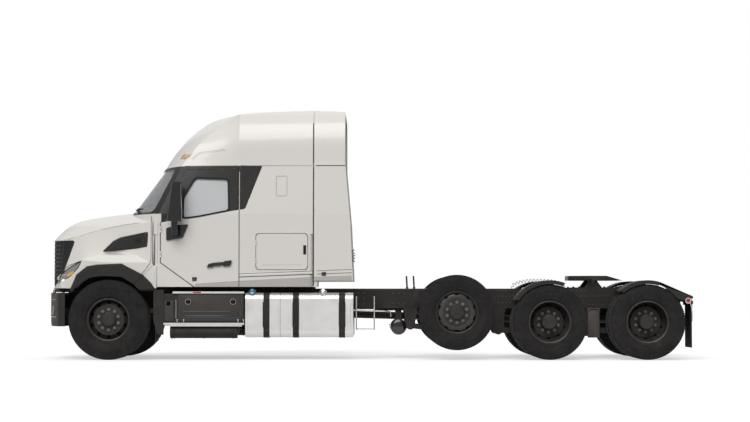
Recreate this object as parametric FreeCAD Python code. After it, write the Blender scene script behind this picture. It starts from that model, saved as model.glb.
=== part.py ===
"""A four-axle semi tractor with a sleeper cab, at its real size in millimetres.

The front faces -X, the driver's side faces -Y and +Z is up. The origin is on the ground,
under the middle of the whole length.
"""
import FreeCAD
import Part
import math
import os

Vector = FreeCAD.Vector

# Driving sizes of the whole vehicle
half_length = 4573.0
half_width = 1240.0
front_axle_x = -3618.0
lift_axle_x = 1268.0
drive_axle_x = 2571.0
drive_spacing = 1370.0
lift_height = 135.0
overrun = 2000.0
seat_gap = 0.3
panel_gap = 6.0
running_clearance = 6.0

# Ladder frame
rail_half = 432.0
rail_height = 285.0
rail_flange = 85.0
rail_wall = 10.0
rail_top = 1003.0
rail_front_x = -4290.0
tail_start_x = 4380.0
tail_drop = 105.0
cross_height = 170.0
cross_length = 120.0
cross_places = (-2150.0, -700.0, 560.0, 1950.0, 3256.0)
rail_bottom = rail_top - rail_height
rail_inner = rail_half - rail_wall
rear_end_x = half_length - 60.0

# Tyres and rims: a size in mm across, from the 22.5 inch bead outwards
bead_r = 286.0
rim_wall = 10.0
rim_lip = 13.0
rim_lip_width = 9.0
nut_circle_r = 142.9
nut_r = 17.0
nut_length = 24.0
nut_count = 10
hand_hole_r = 25.0
hand_hole_circle_r = 243.0
disc_thick = 12.0
spindle_r = 48.0
disc_bore_r = 96.0
drum_wall = 16.0
drum_r = 205.0
hub_r = 122.0
hub_bore_length = 40.0
cap_chamfer = 14.0
bulge_r_share = 0.42
upper_wall_r_share = 0.68
upper_wall_share = 0.97
shoulder_r_share = 0.10
shoulder_share = 0.86
tread_share = 0.76

front_tyre_r = 562.0
front_tyre_width = 420.0
front_rim_width = 330.0
front_wheel_y = 1018.0
lift_tyre_r = 529.0
lift_tyre_width = 290.0
lift_rim_width = 229.0
lift_wheel_y = 1075.0
dual_tyre_r = 530.0
dual_tyre_width = 278.0
dual_rim_width = 210.0
dual_outer_y = 1095.0
dual_pitch = 334.0

# Front axle, springs and steering
kingpin_y = 868.0
kingpin_r = 24.0
boss_r = 46.0
boss_height = 150.0
yoke_thick = 34.0
yoke_clearance = 5.0
beam_height = 110.0
beam_width = 92.0
beam_web = 28.0
beam_drop = 80.0
beam_drop_y = 560.0
steer_arm_reach = 190.0
steer_arm_r = 16.0
ball_pin_r = 11.0
tie_end_gap = 1.0
beam_bend_r = 60.0
leaf_share = 2.2
tie_rod_r = 21.0
ball_r = 30.0
spring_y = 385.0
spring_width = 90.0
spring_pack = 62.0
spring_half_length = 640.0
spring_camber = 70.0
eye_r = 36.0
clip_thick = 22.0


def box(x0, x1, y0, y1, z0, z1):
    """A block between two corners."""
    return Part.makeBox(x1 - x0, y1 - y0, z1 - z0, Vector(x0, y0, z0))


def rod(start, end, radius):
    """A round bar from one point to another."""
    a = Vector(*start)
    b = Vector(*end)
    return Part.makeCylinder(radius, (b - a).Length, a, b - a)


def mirrored(shape):
    """The same piece on the other side of the vehicle."""
    return shape.mirror(Vector(0, 0, 0), Vector(0, 1, 0))


def both(shape):
    """A piece and its mirror image, as one compound of solids."""
    return Part.makeCompound(list(shape.Solids) + list(mirrored(shape).Solids))


def fused(shapes):
    """All the shapes as one solid, with split faces joined."""
    whole = shapes[0]
    if len(shapes) > 1:
        whole = shapes[0].fuse(shapes[1:])
    return whole.removeSplitter()


def place(plane, u, v, w):
    """A point from plane coordinates u, v and the distance w along the plane's normal."""
    if plane == "XZ":
        return Vector(u, w, v)
    if plane == "YZ":
        return Vector(w, u, v)
    return Vector(u, v, w)


def outline_wire(plane, points, w):
    """A closed wire in a plane; a point with a third number is rounded by that radius."""
    count = len(points)
    corners = []
    for i, point in enumerate(points):
        here = Vector(point[0], point[1], 0)
        radius = point[2] if len(point) > 2 else 0
        if not radius:
            corners.append((here, here, here))
            continue
        before = Vector(points[i - 1][0], points[i - 1][1], 0) - here
        after = Vector(points[(i + 1) % count][0], points[(i + 1) % count][1], 0) - here
        half = before.getAngle(after) / 2
        cut = radius / math.tan(half)
        before.normalize()
        after.normalize()
        middle = (before + after).normalize() * (radius / math.sin(half) - radius)
        corners.append((here + before * cut, here + middle, here + after * cut))
    edges = []
    for i, (start, middle, end) in enumerate(corners):
        if (end - start).Length > 0:
            arc = [place(plane, p.x, p.y, w) for p in (start, middle, end)]
            edges.append(Part.Arc(*arc).toShape())
        following = corners[(i + 1) % count][0]
        if (following - end).Length > 0:
            a = place(plane, end.x, end.y, w)
            b = place(plane, following.x, following.y, w)
            edges.append(Part.LineSegment(a, b).toShape())
    return Part.Wire(edges)


def prism(plane, points, w0, w1):
    """An outline in a plane, pushed out along the plane's normal from w0 to w1."""
    face = Part.Face(outline_wire(plane, points, w0))
    return face.extrude(place(plane, 0, 0, w1 - w0))


def turned(points, x, y, z, outward=-1):
    """A solid of revolution about a line along Y. Points are (radius, distance outwards)."""
    wire = Part.makePolygon([Vector(x, y + outward * o, z + r) for r, o in points + points[:1]])
    face = Part.Face(wire)
    return face.revolve(Vector(x, y, z), Vector(0, 1, 0), 360)


def around(piece, x, z, count):
    """Copies of a piece, evenly spaced around a line along Y."""
    step = 360.0 / count
    copies = []
    for i in range(count):
        copy = piece.copy()
        copy.rotate(Vector(x, 0, z), Vector(0, 1, 0), i * step)
        copies.append(copy)
    return copies


def tyre(x, y, z, radius, width, rim_width):
    """A radial tyre on its rim, seen from the side as wide flat tread and bulged walls."""
    half = width / 2
    bead = rim_width / 2 - rim_lip_width - seat_gap
    wall = radius - bead_r
    profile = [
        (bead_r + seat_gap, bead),
        (bead_r + rim_lip + seat_gap, bead + rim_lip_width / 2),
        (bead_r + rim_lip + seat_gap, rim_width / 2 + rim_lip_width / 2),
        (bead_r + wall * bulge_r_share, half),
        (bead_r + wall * upper_wall_r_share, half * upper_wall_share),
        (radius - wall * shoulder_r_share, half * shoulder_share),
        (radius, half * tread_share),
    ]
    return turned(profile + [(r, -o) for r, o in reversed(profile)], x, y, z)


def rim_barrel(x, y, z, rim_width):
    """The drop-centre barrel that carries one tyre."""
    half = rim_width / 2
    profile = [
        (bead_r + rim_lip, half),
        (bead_r + rim_lip, half - rim_lip_width / 2),
        (bead_r, half - rim_lip_width),
    ]
    inside = [(r - rim_wall, o) for r, o in profile]
    right = [(r, -o) for r, o in reversed(profile)]
    right_inside = [(r - rim_wall, -o) for r, o in reversed(profile)]
    return turned(profile + right + right_inside[::-1] + inside[::-1], x, y, z)


# How far out of its tyre's middle plane each kind of wheel carries its disc, hub and cap
front_disc_out = 118.0
front_disc_root = 52.0
front_cap_out = 168.0
front_hub_in = -52.0
front_drum_in = -78.0
lift_disc_out = 112.0
lift_disc_root = 66.0
lift_cap_out = 138.0
lift_hub_in = -150.0
lift_drum_in = -190.0
drive_disc_in = -dual_pitch / 2 + disc_thick
drive_disc_root = -70.0
drive_cap_out = 55.0
drive_hub_in = -370.0
drive_drum_in = -395.0
front_cap_r = 98.0
lift_cap_r = 104.0
drive_cap_r = 108.0
disc_shoulder_r = 214.0
plate_clearance = 7.0
plate_thick = 10.0
drum_web_thick = 14.0


def wheel_disc(x, y, z, disc_out, disc_root):
    """The pressed steel disc with its ring of hand holes, joined to the barrel's inside."""
    root_r = bead_r - rim_wall / 2
    lean = disc_thick
    disc = turned(
        [
            (root_r, disc_root),
            (disc_shoulder_r, disc_out),
            (disc_bore_r, disc_out),
            (disc_bore_r, disc_out - disc_thick),
            (disc_shoulder_r - lean, disc_out - disc_thick),
            (root_r, disc_root - disc_thick),
        ],
        x, y, z,
    )
    reach = abs(disc_out) + overrun / 10
    hole = rod((x, y - reach, z + hand_hole_circle_r), (x, y + reach, z + hand_hole_circle_r), hand_hole_r)
    return disc.cut(around(hole, x, z, nut_count))


def hub(x, y, z, hub_in, disc_out, cap_r, cap_out, drum_in):
    """The hub with its blind bore, cap and brake drum, one turning casting."""
    bore_r = spindle_r + seat_gap
    bore_end = disc_out - hub_bore_length / 2
    cap_top = disc_out + cap_out
    body = turned(
        [
            (bore_r, hub_in),
            (hub_r, hub_in),
            (hub_r, disc_out),
            (cap_r, disc_out),
            (cap_r, cap_top - cap_chamfer),
            (cap_r - cap_chamfer, cap_top),
            (0, cap_top),
            (0, bore_end),
            (bore_r, bore_end),
        ],
        x, y, z,
    )
    web_out = disc_out - disc_thick
    drum = turned(
        [
            (hub_r - drum_wall, web_out),
            (drum_r, web_out),
            (drum_r, drum_in),
            (drum_r - drum_wall, drum_in),
            (drum_r - drum_wall, web_out - drum_web_thick),
            (hub_r - drum_wall, web_out - drum_web_thick),
        ],
        x, y, z,
    )
    nut = rod(
        (x, y - disc_out, z + nut_circle_r), (x, y - disc_out - nut_length, z + nut_circle_r), nut_r
    )
    return [body, drum] + around(nut, x, z, nut_count)


def front_rim(x, y, z):
    """The steered wheel's rim, disc, hub and drum."""
    pieces = [rim_barrel(x, y, z, front_rim_width)]
    pieces.append(wheel_disc(x, y, z, front_disc_out, front_disc_root))
    pieces += hub(x, y, z, front_hub_in, front_disc_out, front_cap_r, front_cap_out - front_disc_out,
                  front_drum_in)
    return fused(pieces)


def lift_rim(x, y, z):
    """The lift axle's single rim, with its disc near the outer face."""
    pieces = [rim_barrel(x, y, z, lift_rim_width)]
    pieces.append(wheel_disc(x, y, z, lift_disc_out, lift_disc_root))
    pieces += hub(x, y, z, lift_hub_in, lift_disc_out, lift_cap_r, lift_cap_out - lift_disc_out,
                  lift_drum_in)
    return fused(pieces)


def dual_rims(x, y, z):
    """A drive axle's two rims, bolted back to back on one hub; y is the outer rim's middle."""
    pieces = [rim_barrel(x, y, z, dual_rim_width), rim_barrel(x, y + dual_pitch, z, dual_rim_width)]
    pieces.append(wheel_disc(x, y, z, drive_disc_in, drive_disc_root))
    inner = wheel_disc(x, y, z, drive_disc_in, drive_disc_root)
    pieces.append(inner.mirror(Vector(0, y + dual_pitch / 2, 0), Vector(0, 1, 0)))
    pieces += hub(x, y, z, drive_hub_in, drive_disc_in, drive_cap_r,
                  drive_cap_out - drive_disc_in, drive_drum_in)
    return fused(pieces)


def knuckle():
    """The left steering knuckle: yoke, king pin, spindle, backing plate and steering arm."""
    x = front_axle_x
    z = front_tyre_r
    plate_y = -front_wheel_y - front_drum_in - plate_thick
    ear_z = boss_height / 2 + yoke_clearance
    pin = rod((x, -kingpin_y, z - ear_z - yoke_thick), (x, -kingpin_y, z + ear_z + yoke_thick), kingpin_r)
    pieces = [pin]
    for low in (z + ear_z, z - ear_z - yoke_thick):
        pieces.append(rod((x, -kingpin_y, low), (x, -kingpin_y, low + yoke_thick), boss_r))
        pieces.append(box(x - boss_r, x + boss_r, plate_y, -kingpin_y, low, low + yoke_thick))
    pieces.append(
        box(x - boss_r, x + boss_r, plate_y, -kingpin_y - boss_r - yoke_clearance,
            z - ear_z - yoke_thick, z + ear_z + yoke_thick)
    )
    plate_r = drum_r - drum_wall - plate_clearance
    pieces.append(rod((x, plate_y, z), (x, plate_y + plate_thick, z), plate_r))
    spindle_end = -front_wheel_y - front_disc_out + hub_bore_length / 2 + seat_gap
    pieces.append(rod((x, plate_y + plate_thick, z), (x, spindle_end, z), spindle_r))
    arm_z = z - ear_z - yoke_thick / 2
    tip = x + steer_arm_reach
    pieces.append(rod((x, -kingpin_y, arm_z), (tip, -kingpin_y, arm_z), steer_arm_r))
    pieces.append(rod((tip, -kingpin_y, arm_z - yoke_thick / 2),
        (tip, -kingpin_y, arm_z + yoke_thick / 2), ball_r))
    pieces.append(rod((tip, -kingpin_y, arm_z), (tip, -kingpin_y, tie_rod_z() - ball_r), ball_pin_r))
    return fused(pieces)


def tie_rod_z():
    """The height of the tie rod, under the steering arms."""
    low_ear = front_tyre_r - boss_height / 2 - yoke_clearance - yoke_thick
    return low_ear - tie_rod_r - yoke_clearance * 2


def tie_rod():
    """The cross tube behind the axle, with an eye around each steering arm's pin."""
    x = front_axle_x + steer_arm_reach
    z = tie_rod_z()
    bar = rod((x, -kingpin_y, z), (x, kingpin_y, z), tie_rod_r - rail_wall / 2)
    pieces = [bar]
    holes = []
    for side, gap in ((-1, seat_gap), (1, tie_end_gap)):
        y = side * kingpin_y
        pieces.append(rod((x, y, z - tie_rod_r), (x, y, z + tie_rod_r), ball_r))
        holes.append(rod((x, y, z - overrun), (x, y, z + overrun), ball_pin_r + gap))
    return fused(pieces).cut(holes)


def front_axle():
    """The forged I-beam that drops between its two king pin bosses."""
    x = front_axle_x
    z = front_tyre_r
    half = beam_height / 2
    low = z - beam_drop
    outline = [
        (-kingpin_y, z - half), (-beam_drop_y, low - half, beam_bend_r),
        (beam_drop_y, low - half, beam_bend_r),
        (kingpin_y, z - half), (kingpin_y, z + half), (beam_drop_y, low + half, beam_bend_r),
        (-beam_drop_y, low + half, beam_bend_r), (-kingpin_y, z + half),
    ]
    beam = prism("YZ", outline, x - beam_width / 2, x + beam_width / 2)
    flange = beam_web / 2
    end = kingpin_y - boss_r * 2
    pocket_half = half - flange
    pocket = [
        (-end, z - pocket_half), (-beam_drop_y, low - pocket_half), (beam_drop_y, low - pocket_half),
        (end, z - pocket_half), (end, z + pocket_half), (beam_drop_y, low + pocket_half),
        (-beam_drop_y, low + pocket_half), (-end, z + pocket_half),
    ]
    cuts = [
        prism("YZ", pocket, x - overrun, x - beam_web / 2),
        prism("YZ", pocket, x + beam_web / 2, x + overrun),
    ]
    bosses = []
    for side in (-1, 1):
        y = side * kingpin_y
        bosses.append(rod((x, y, z - boss_height / 2), (x, y, z + boss_height / 2), boss_r))
        cuts.append(rod((x, y, z - overrun), (x, y, z + overrun), kingpin_r + seat_gap))
    return fused([beam] + bosses).cut(cuts)


def front_springs():
    """A leaf pack over each end of the front axle, with its eyes, hangers and axle clips."""
    x = front_axle_x
    y0 = -spring_y - spring_width / 2
    y1 = -spring_y + spring_width / 2
    seat = front_tyre_r - beam_drop + beam_height / 2
    end_z = seat + spring_camber
    top = seat + spring_pack
    leaf = top - seat - spring_pack / leaf_share
    arc_low = Part.Arc(
        Vector(x - spring_half_length, y0, end_z + leaf), Vector(x, y0, seat),
        Vector(x + spring_half_length, y0, end_z + leaf),
    ).toShape()
    arc_high = Part.Arc(
        Vector(x + spring_half_length, y0, end_z + top - seat), Vector(x, y0, top),
        Vector(x - spring_half_length, y0, end_z + top - seat),
    ).toShape()
    sides = [
        Part.makeLine(arc_low.Vertexes[1].Point, arc_high.Vertexes[0].Point),
        Part.makeLine(arc_high.Vertexes[1].Point, arc_low.Vertexes[0].Point),
    ]
    pack = Part.Face(Part.Wire([arc_low, sides[0], arc_high, sides[1]])).extrude(Vector(0, y1 - y0, 0))
    pieces = [pack]
    eye_z = end_z + top - seat - eye_r / 2
    for side in (-1, 1):
        eye_x = x + side * spring_half_length
        pieces.append(rod((eye_x, y0, eye_z), (eye_x, y1, eye_z), eye_r))
        pieces.append(box(eye_x - eye_r, eye_x + eye_r, y0, y1, eye_z, rail_bottom))
    for side in (-1, 1):
        clip_x = x + side * beam_width / 2
        pieces.append(
            box(clip_x - clip_thick / 2, clip_x + clip_thick / 2, y0 - clip_thick / 2, y1 + clip_thick / 2,
                seat, top + clip_thick)
        )
    return both(fused(pieces))


def turned_x(points, x, y, z):
    """A solid of revolution about a line along X. Points are (distance along X, radius)."""
    wire = Part.makePolygon([Vector(x + a, y, z + r) for a, r in points + points[:1]])
    return Part.Face(wire).revolve(Vector(x, y, z), Vector(1, 0, 0), 360)


def rail():
    """The left frame rail, a channel open to the middle, with its tail tapered at the top."""
    whole = box(rail_front_x, rear_end_x, -rail_half, -rail_half + rail_flange, rail_bottom, rail_top)
    hollow = box(
        rail_front_x - overrun, rear_end_x + overrun, -rail_inner, -rail_half + overrun,
        rail_bottom + rail_wall, rail_top - rail_wall,
    )
    low = rail_top - tail_drop
    wedge = [(tail_start_x, rail_top), (rear_end_x + overrun, rail_top), (rear_end_x + overrun, low),
             (rear_end_x, low)]
    tail = prism("XZ", wedge, -overrun, overrun)
    tail_flange = [(tail_start_x, rail_top - rail_wall), (rear_end_x, low - rail_wall), (rear_end_x, low),
                   (tail_start_x, rail_top)]
    lid = prism("XZ", tail_flange, -rail_half, -rail_half + rail_flange)
    return fused([whole.cut([hollow, tail]), lid])


cross_top = rail_top - 45.0


def crossmember(x):
    """A pressed cross beam between the rails, open on both its long faces."""
    half = cross_length / 2
    low = cross_top - cross_height
    beam = box(x - half, x + half, -rail_inner, rail_inner, low, cross_top)
    pocket_y = rail_inner - rail_flange
    cuts = []
    for a, b in ((x - overrun, x - rail_wall / 2), (x + rail_wall / 2, x + overrun)):
        cuts.append(box(a, b, -pocket_y, pocket_y, low + rail_wall, cross_top - rail_wall))
    return beam.cut(cuts)


def frame():
    """Both rails with their crossmembers, one welded and bolted ladder."""
    pieces = [rail(), mirrored(rail())]
    pieces += [crossmember(x) for x in cross_places]
    end = rear_end_x - rail_wall
    low_top = rail_top - tail_drop
    pieces.append(box(end, rear_end_x, -rail_half, rail_half, rail_bottom, low_top - rail_wall))
    front = rail_front_x + cross_length
    pieces.append(box(rail_front_x, front, -rail_inner, rail_inner, rail_bottom,
        rail_bottom + cross_height / 2))
    return fused(pieces)


bumper_top = 941.0
bumper_bottom = 469.0
bumper_corner_x = -4330.0
bumper_corner_half = 1150.0
bumper_side_x = -4225.0
bumper_half = 1215.0
bumper_wall = 12.0
bumper_chin = 80.0
bumper_chin_z = 600.0
bracket_height = 190.0


def bumper_form(inset, back):
    """The bumper's outer form: bowed forward in plan, with a chin that leans back."""
    front = -half_length + inset
    corner = bumper_corner_x + inset
    side = bumper_side_x + back
    corner_half = bumper_corner_half - inset
    half = bumper_half - inset
    nose = Part.Arc(
        Vector(corner, -corner_half, bumper_bottom), Vector(front, 0, bumper_bottom),
        Vector(corner, corner_half, bumper_bottom),
    ).toShape()
    corners = [Vector(corner, corner_half, bumper_bottom), Vector(side, half, bumper_bottom),
               Vector(side, -half, bumper_bottom), Vector(corner, -corner_half, bumper_bottom)]
    rest = [Part.makeLine(corners[i], corners[i + 1]) for i in range(len(corners) - 1)]
    body = Part.Face(Part.Wire([nose] + rest)).extrude(Vector(0, 0, bumper_top - bumper_bottom))
    low = bumper_bottom + inset
    profile = [
        (front, bumper_chin_z), (front, bumper_top - inset), (side, bumper_top - inset), (side, low),
        (front + bumper_chin, low),
    ]
    return body.common(prism("XZ", profile, -half_width, half_width))


def front_bumper():
    """A hollow bumper shell with the two brackets that bolt it to the rails."""
    shell = bumper_form(0, 0).cut(bumper_form(bumper_wall, bumper_wall))
    outer = front_wheel_y + front_tyre_width / 2 - kingpin_y
    sweep_r = math.hypot(front_tyre_r, outer) + running_clearance
    sweep = Part.makeCylinder(sweep_r, overrun, Vector(front_axle_x, -kingpin_y, 0))
    room = rail_half + running_clearance
    chassis_room = box(rail_front_x, 0, -room, room, bumper_bottom + bumper_wall, overrun)
    pieces = [shell.cut([sweep, mirrored(sweep), chassis_room])]
    y1 = rail_half
    y0 = rail_half - rail_flange
    for a, b in ((-y1, -y0), (y0, y1)):
        bracket = box(-half_length, rail_front_x, a, b, rail_bottom, rail_bottom + bracket_height)
        pieces.append(bracket.common(bumper_form(0, bumper_wall)))
    return fused(pieces)


engine_front_x = -3980.0
engine_back_x = -3080.0
engine_half = 270.0
engine_bottom = 640.0
engine_top = 1580.0
crank_top = 1120.0
head_half = 190.0
gearbox_back_x = -2230.0
gearbox_z = 700.0
gearbox_r = 235.0
gearbox_end_r = 130.0
mount_thick = 40.0
mount_low = 740.0


def engine():
    """The engine and gearbox as one plain block, on its arms to the rails."""
    section = [
        (-engine_half * 0.6, engine_bottom), (engine_half * 0.6, engine_bottom),
        (engine_half, crank_top * 0.72),
        (engine_half, crank_top), (head_half, crank_top), (head_half, engine_top),
        (-head_half, engine_top), (-head_half, crank_top), (-engine_half, crank_top),
        (-engine_half, crank_top * 0.72),
    ]
    block = prism("YZ", section, engine_front_x, engine_back_x)
    length = gearbox_back_x - engine_back_x
    box_shape = turned_x(
        [(-rail_wall, 0), (-rail_wall, gearbox_r), (length * 0.3, gearbox_r),
        (length * 0.45, gearbox_r * 0.8),
         (length * 0.85, gearbox_r * 0.75), (length, gearbox_end_r), (length, 0)],
        engine_back_x, 0, gearbox_z,
    )
    pieces = [block, box_shape]
    for x in (engine_front_x + engine_half, engine_back_x + gearbox_r):
        pieces.append(
            box(x - mount_thick, x + mount_thick, -rail_inner, rail_inner, mount_low,
                mount_low + mount_thick * 2)
        )
    return fused(pieces)


radiator_x = -4180.0
radiator_thick = 120.0
radiator_half = 410.0
radiator_top = 1600.0
radiator_rim = 45.0


def radiator():
    """The cooling pack behind the grille, a framed core on the front crossmember."""
    x0 = radiator_x - radiator_thick / 2
    x1 = radiator_x + radiator_thick / 2
    z0 = rail_bottom + cross_height / 2
    frame_box = box(x0, x1, -rail_inner + rail_flange, rail_inner - rail_flange, z0, rail_top)
    upper = box(x0, x1, -radiator_half, radiator_half, rail_top, radiator_top)
    core = box(
        x0 - overrun, x0 + radiator_rim / 2, -radiator_half + radiator_rim, radiator_half - radiator_rim,
        rail_top + radiator_rim, radiator_top - radiator_rim,
    )
    return fused([frame_box, upper]).cut(core)


shaft_r = 52.0
joint_r = 74.0
joint_length = 130.0
centre_bearing_x = -640.0
centre_bearing_z = 640.0
diff_input_z = 560.0
diff_nose = 300.0
diff_tail = 250.0


def shaft(start, end):
    """A drive shaft between two points, with a fat universal joint at each end."""
    a = Vector(*start)
    b = Vector(*end)
    along = (b - a).normalize() * joint_length
    pieces = [rod(start, end, shaft_r)]
    pieces.append(rod(start, tuple(a + along), joint_r))
    pieces.append(rod(tuple(b - along), end, joint_r))
    return pieces


def driveshafts():
    """The two-piece main shaft with its centre bearing, and the short shaft between the axles."""
    start_x = gearbox_back_x + seat_gap
    end_x = drive_axle_x - diff_nose - seat_gap
    first = (start_x - mount_thick, 0, gearbox_z)
    middle = (centre_bearing_x, 0, centre_bearing_z)
    last = (end_x + mount_thick, 0, diff_input_z)
    between = box(start_x, end_x, -overrun, overrun, 0, overrun)
    pieces = shaft(first, middle) + shaft(middle, last)
    pieces.append(Part.makeSphere(joint_r, Vector(*middle)))
    low = cross_top - cross_height
    bearing_x = cross_places[1]
    bearing_z = centre_bearing_z + joint_r / 2
    pieces.append(
        box(bearing_x - mount_thick, bearing_x + mount_thick, -joint_r, joint_r, bearing_z, low)
    )
    front_diff_back = (drive_axle_x + diff_tail + seat_gap, 0, diff_input_z)
    back_diff_nose = (drive_axle_x + drive_spacing - diff_nose - seat_gap, 0, diff_input_z)
    main = fused(pieces).common(between)
    return Part.makeCompound([main, fused(shaft(front_diff_back, back_diff_nose))])


tube_r = 68.0
bowl_r = 205.0
bowl_half = 90.0


def axle_end(x, wheel_y, z, drum_in, disc_out):
    """The left end of a dead or driven axle: brake backing plate and spindle inside the hub."""
    plate_y = -wheel_y - drum_in - plate_thick
    plate_r = drum_r - drum_wall - plate_clearance
    spindle_end = -wheel_y - disc_out + hub_bore_length / 2 + seat_gap
    plate = rod((x, plate_y - plate_thick / 2, z), (x, plate_y + plate_thick / 2, z), plate_r)
    return [plate, rod((x, spindle_end, z), (x, plate_y + plate_thick, z), spindle_r)]


def drive_axle(x, tail):
    """A driven axle housing with its differential bowl, tubes and spindles."""
    z = dual_tyre_r
    nose = turned_x(
        [(-diff_nose, 0), (-diff_nose, joint_r), (-diff_nose + joint_length, joint_r * 1.3),
        (-bowl_half, bowl_r),
         (bowl_half, bowl_r), (bowl_half * 2, bowl_r * 0.66), (bowl_half * 2, 0)],
        x, 0, z,
    )
    inner = -dual_outer_y - drive_drum_in - plate_thick
    pieces = [nose, rod((x, inner, z), (x, -inner, z), tube_r)]
    input_height = diff_input_z - z
    pieces.append(rod((x - diff_nose, 0, z + input_height), (x, 0, z + input_height), joint_r))
    if tail:
        pieces.append(rod((x, 0, z + input_height), (x + diff_tail, 0, z + input_height), joint_r * 0.8))
    ends = axle_end(x, dual_outer_y, z, drive_drum_in, drive_disc_in)
    pieces += ends + [mirrored(end) for end in ends]
    return fused(pieces)


def drive_axles():
    """Both driven axles of the tandem."""
    first = drive_axle(drive_axle_x, True)
    return Part.makeCompound([first, drive_axle(drive_axle_x + drive_spacing, False)])


lift_beam_low = 470.0
lift_beam_half = 50.0
lift_beam_flat_y = 470.0
lift_beam_end_y = 780.0


def lift_axle():
    """The raised pusher axle: a beam that dips under the drive shaft."""
    x = lift_axle_x
    z = lift_tyre_r + lift_height
    end = lift_wheel_y + lift_drum_in + plate_thick
    h = lift_beam_half
    outline = [
        (-end, z - h), (-lift_beam_end_y, z - h, beam_bend_r), (-lift_beam_flat_y, lift_beam_low - h,
        beam_bend_r),
        (lift_beam_flat_y, lift_beam_low - h, beam_bend_r), (lift_beam_end_y, z - h, beam_bend_r),
        (end, z - h),
        (end, z + h), (lift_beam_end_y, z + h, beam_bend_r), (lift_beam_flat_y, lift_beam_low + h,
        beam_bend_r),
        (-lift_beam_flat_y, lift_beam_low + h, beam_bend_r), (-lift_beam_end_y, z + h, beam_bend_r),
        (-end, z + h),
    ]
    pieces = [prism("YZ", outline, x - h, x + h)]
    ends = axle_end(x, lift_wheel_y, z, lift_drum_in, lift_disc_out)
    pieces += ends + [mirrored(end) for end in ends]
    return fused(pieces)


arm_height = 70.0
arm_y = 430.0
arm_half = 42.0
hanger_half_x = 62.0
drive_hanger_back = 680.0
drive_bag_ahead = 335.0
drive_bag_r = 128.0
drive_arm_top = 440.0
hanger_pin_z = 400.0
hanger_boss_r = 58.0


def trailing_arm(axle_x, hanger_x, pin_z, bag_x, bag_r, arm_top):
    """The left side's hanger, arm, axle seat and air spring, as they are bolted together."""
    y0 = -arm_y - arm_half
    y1 = -arm_y + arm_half
    hanger = [
        (hanger_x - hanger_half_x, pin_z), (hanger_x + hanger_half_x, pin_z),
        (hanger_x + hanger_half_x * 1.6, rail_bottom), (hanger_x - hanger_half_x * 1.6, rail_bottom),
    ]
    pieces = [prism("XZ", hanger, y0, y1)]
    pieces.append(rod((hanger_x, y0 - rail_wall, pin_z), (hanger_x, y1 + rail_wall, pin_z), hanger_boss_r))
    arm = [
        (hanger_x, pin_z - arm_height / 2), (axle_x, arm_top - arm_height),
        (bag_x + bag_r * 0.8, arm_top - arm_height),
        (bag_x + bag_r * 0.8, arm_top), (axle_x - hanger_half_x, arm_top),
        (hanger_x, pin_z + arm_height / 2),
    ]
    pieces.append(prism("XZ", arm, y0, y1))
    bag_height = rail_bottom - arm_top
    bag = [
        (0, 0), (bag_r * 0.62, 0), (bag_r * 0.7, bag_height * 0.28), (bag_r, bag_height * 0.36),
        (bag_r, bag_height * 0.86), (bag_r * 0.8, bag_height), (0, bag_height),
    ]
    bag_y = -rail_half + rail_flange / 2
    wire = Part.makePolygon([Vector(bag_x + r, bag_y, arm_top + h) for r, h in bag + bag[:1]])
    centre = Vector(bag_x, -rail_half + rail_flange / 2, arm_top)
    pieces.append(Part.Face(wire).revolve(centre, Vector(0, 0, 1), 360))
    return fused(pieces)


def rear_suspension():
    """The tandem's hangers, arms and air springs."""
    sides = []
    for x in (drive_axle_x, drive_axle_x + drive_spacing):
        unit = trailing_arm(
            x, x - drive_hanger_back, hanger_pin_z, x + drive_bag_ahead, drive_bag_r, drive_arm_top
        )
        seat = box(
            x - hanger_half_x, x + hanger_half_x, -arm_y - arm_half, -arm_y + arm_half, drive_arm_top,
                dual_tyre_r
        )
        tube = rod((x, -half_width, dual_tyre_r), (x, half_width, dual_tyre_r), tube_r + seat_gap)
        sides.append(fused([unit, seat.cut(tube)]))
    return both(Part.makeCompound(sides))


lift_hanger_back = 640.0
lift_bag_ahead = 300.0
lift_bag_r = 112.0


def lift_suspension():
    """The pusher axle's hangers, arms and air springs."""
    under = lift_beam_low - lift_beam_half
    unit = trailing_arm(
        lift_axle_x, lift_axle_x - lift_hanger_back, hanger_pin_z + arm_height,
            lift_axle_x + lift_bag_ahead,
        lift_bag_r, under
    )
    return both(unit)


# Cab and sleeper: heights, and plan half widths along its length
cab_wall = 50.0
cab_front_x = -2990.0
cab_mid_x = -1792.0
cab_rear_x = -745.0
cab_front_half = 1150.0
cab_mid_half = 1220.0
cab_bottom = 1024.0
cowl_bottom = 1760.0
cowl_nose_x = -3440.0
belt_z = 2050.0
belt_nose_x = -3426.0
belt_corner_x = -2924.0
belt_corner_half = 1140.0
cab_top = 2731.0
top_nose_x = -2932.0
top_corner_x = -2608.0
top_corner_half = 1060.0
top_mid_half = 1180.0
top_rear_half = 1190.0
cab_corner_r = 70.0


def arc_plan(nose, corner, corner_half, mid_half, rear_half, z, rear_x=cab_rear_x):
    """A plan outline with a bowed front, as one wire at a height."""
    front = Part.Arc(
        Vector(corner, -corner_half, z), Vector(nose, 0, z), Vector(corner, corner_half, z)
    ).toShape()
    points = [
        Vector(corner, corner_half, z), Vector(cab_mid_x, mid_half, z), Vector(rear_x, rear_half, z),
        Vector(rear_x, -rear_half, z), Vector(cab_mid_x, -mid_half, z), Vector(corner, -corner_half, z),
    ]
    lines = [Part.makeLine(points[i], points[i + 1]) for i in range(len(points) - 1)]
    return Part.Wire([front] + lines)


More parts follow.
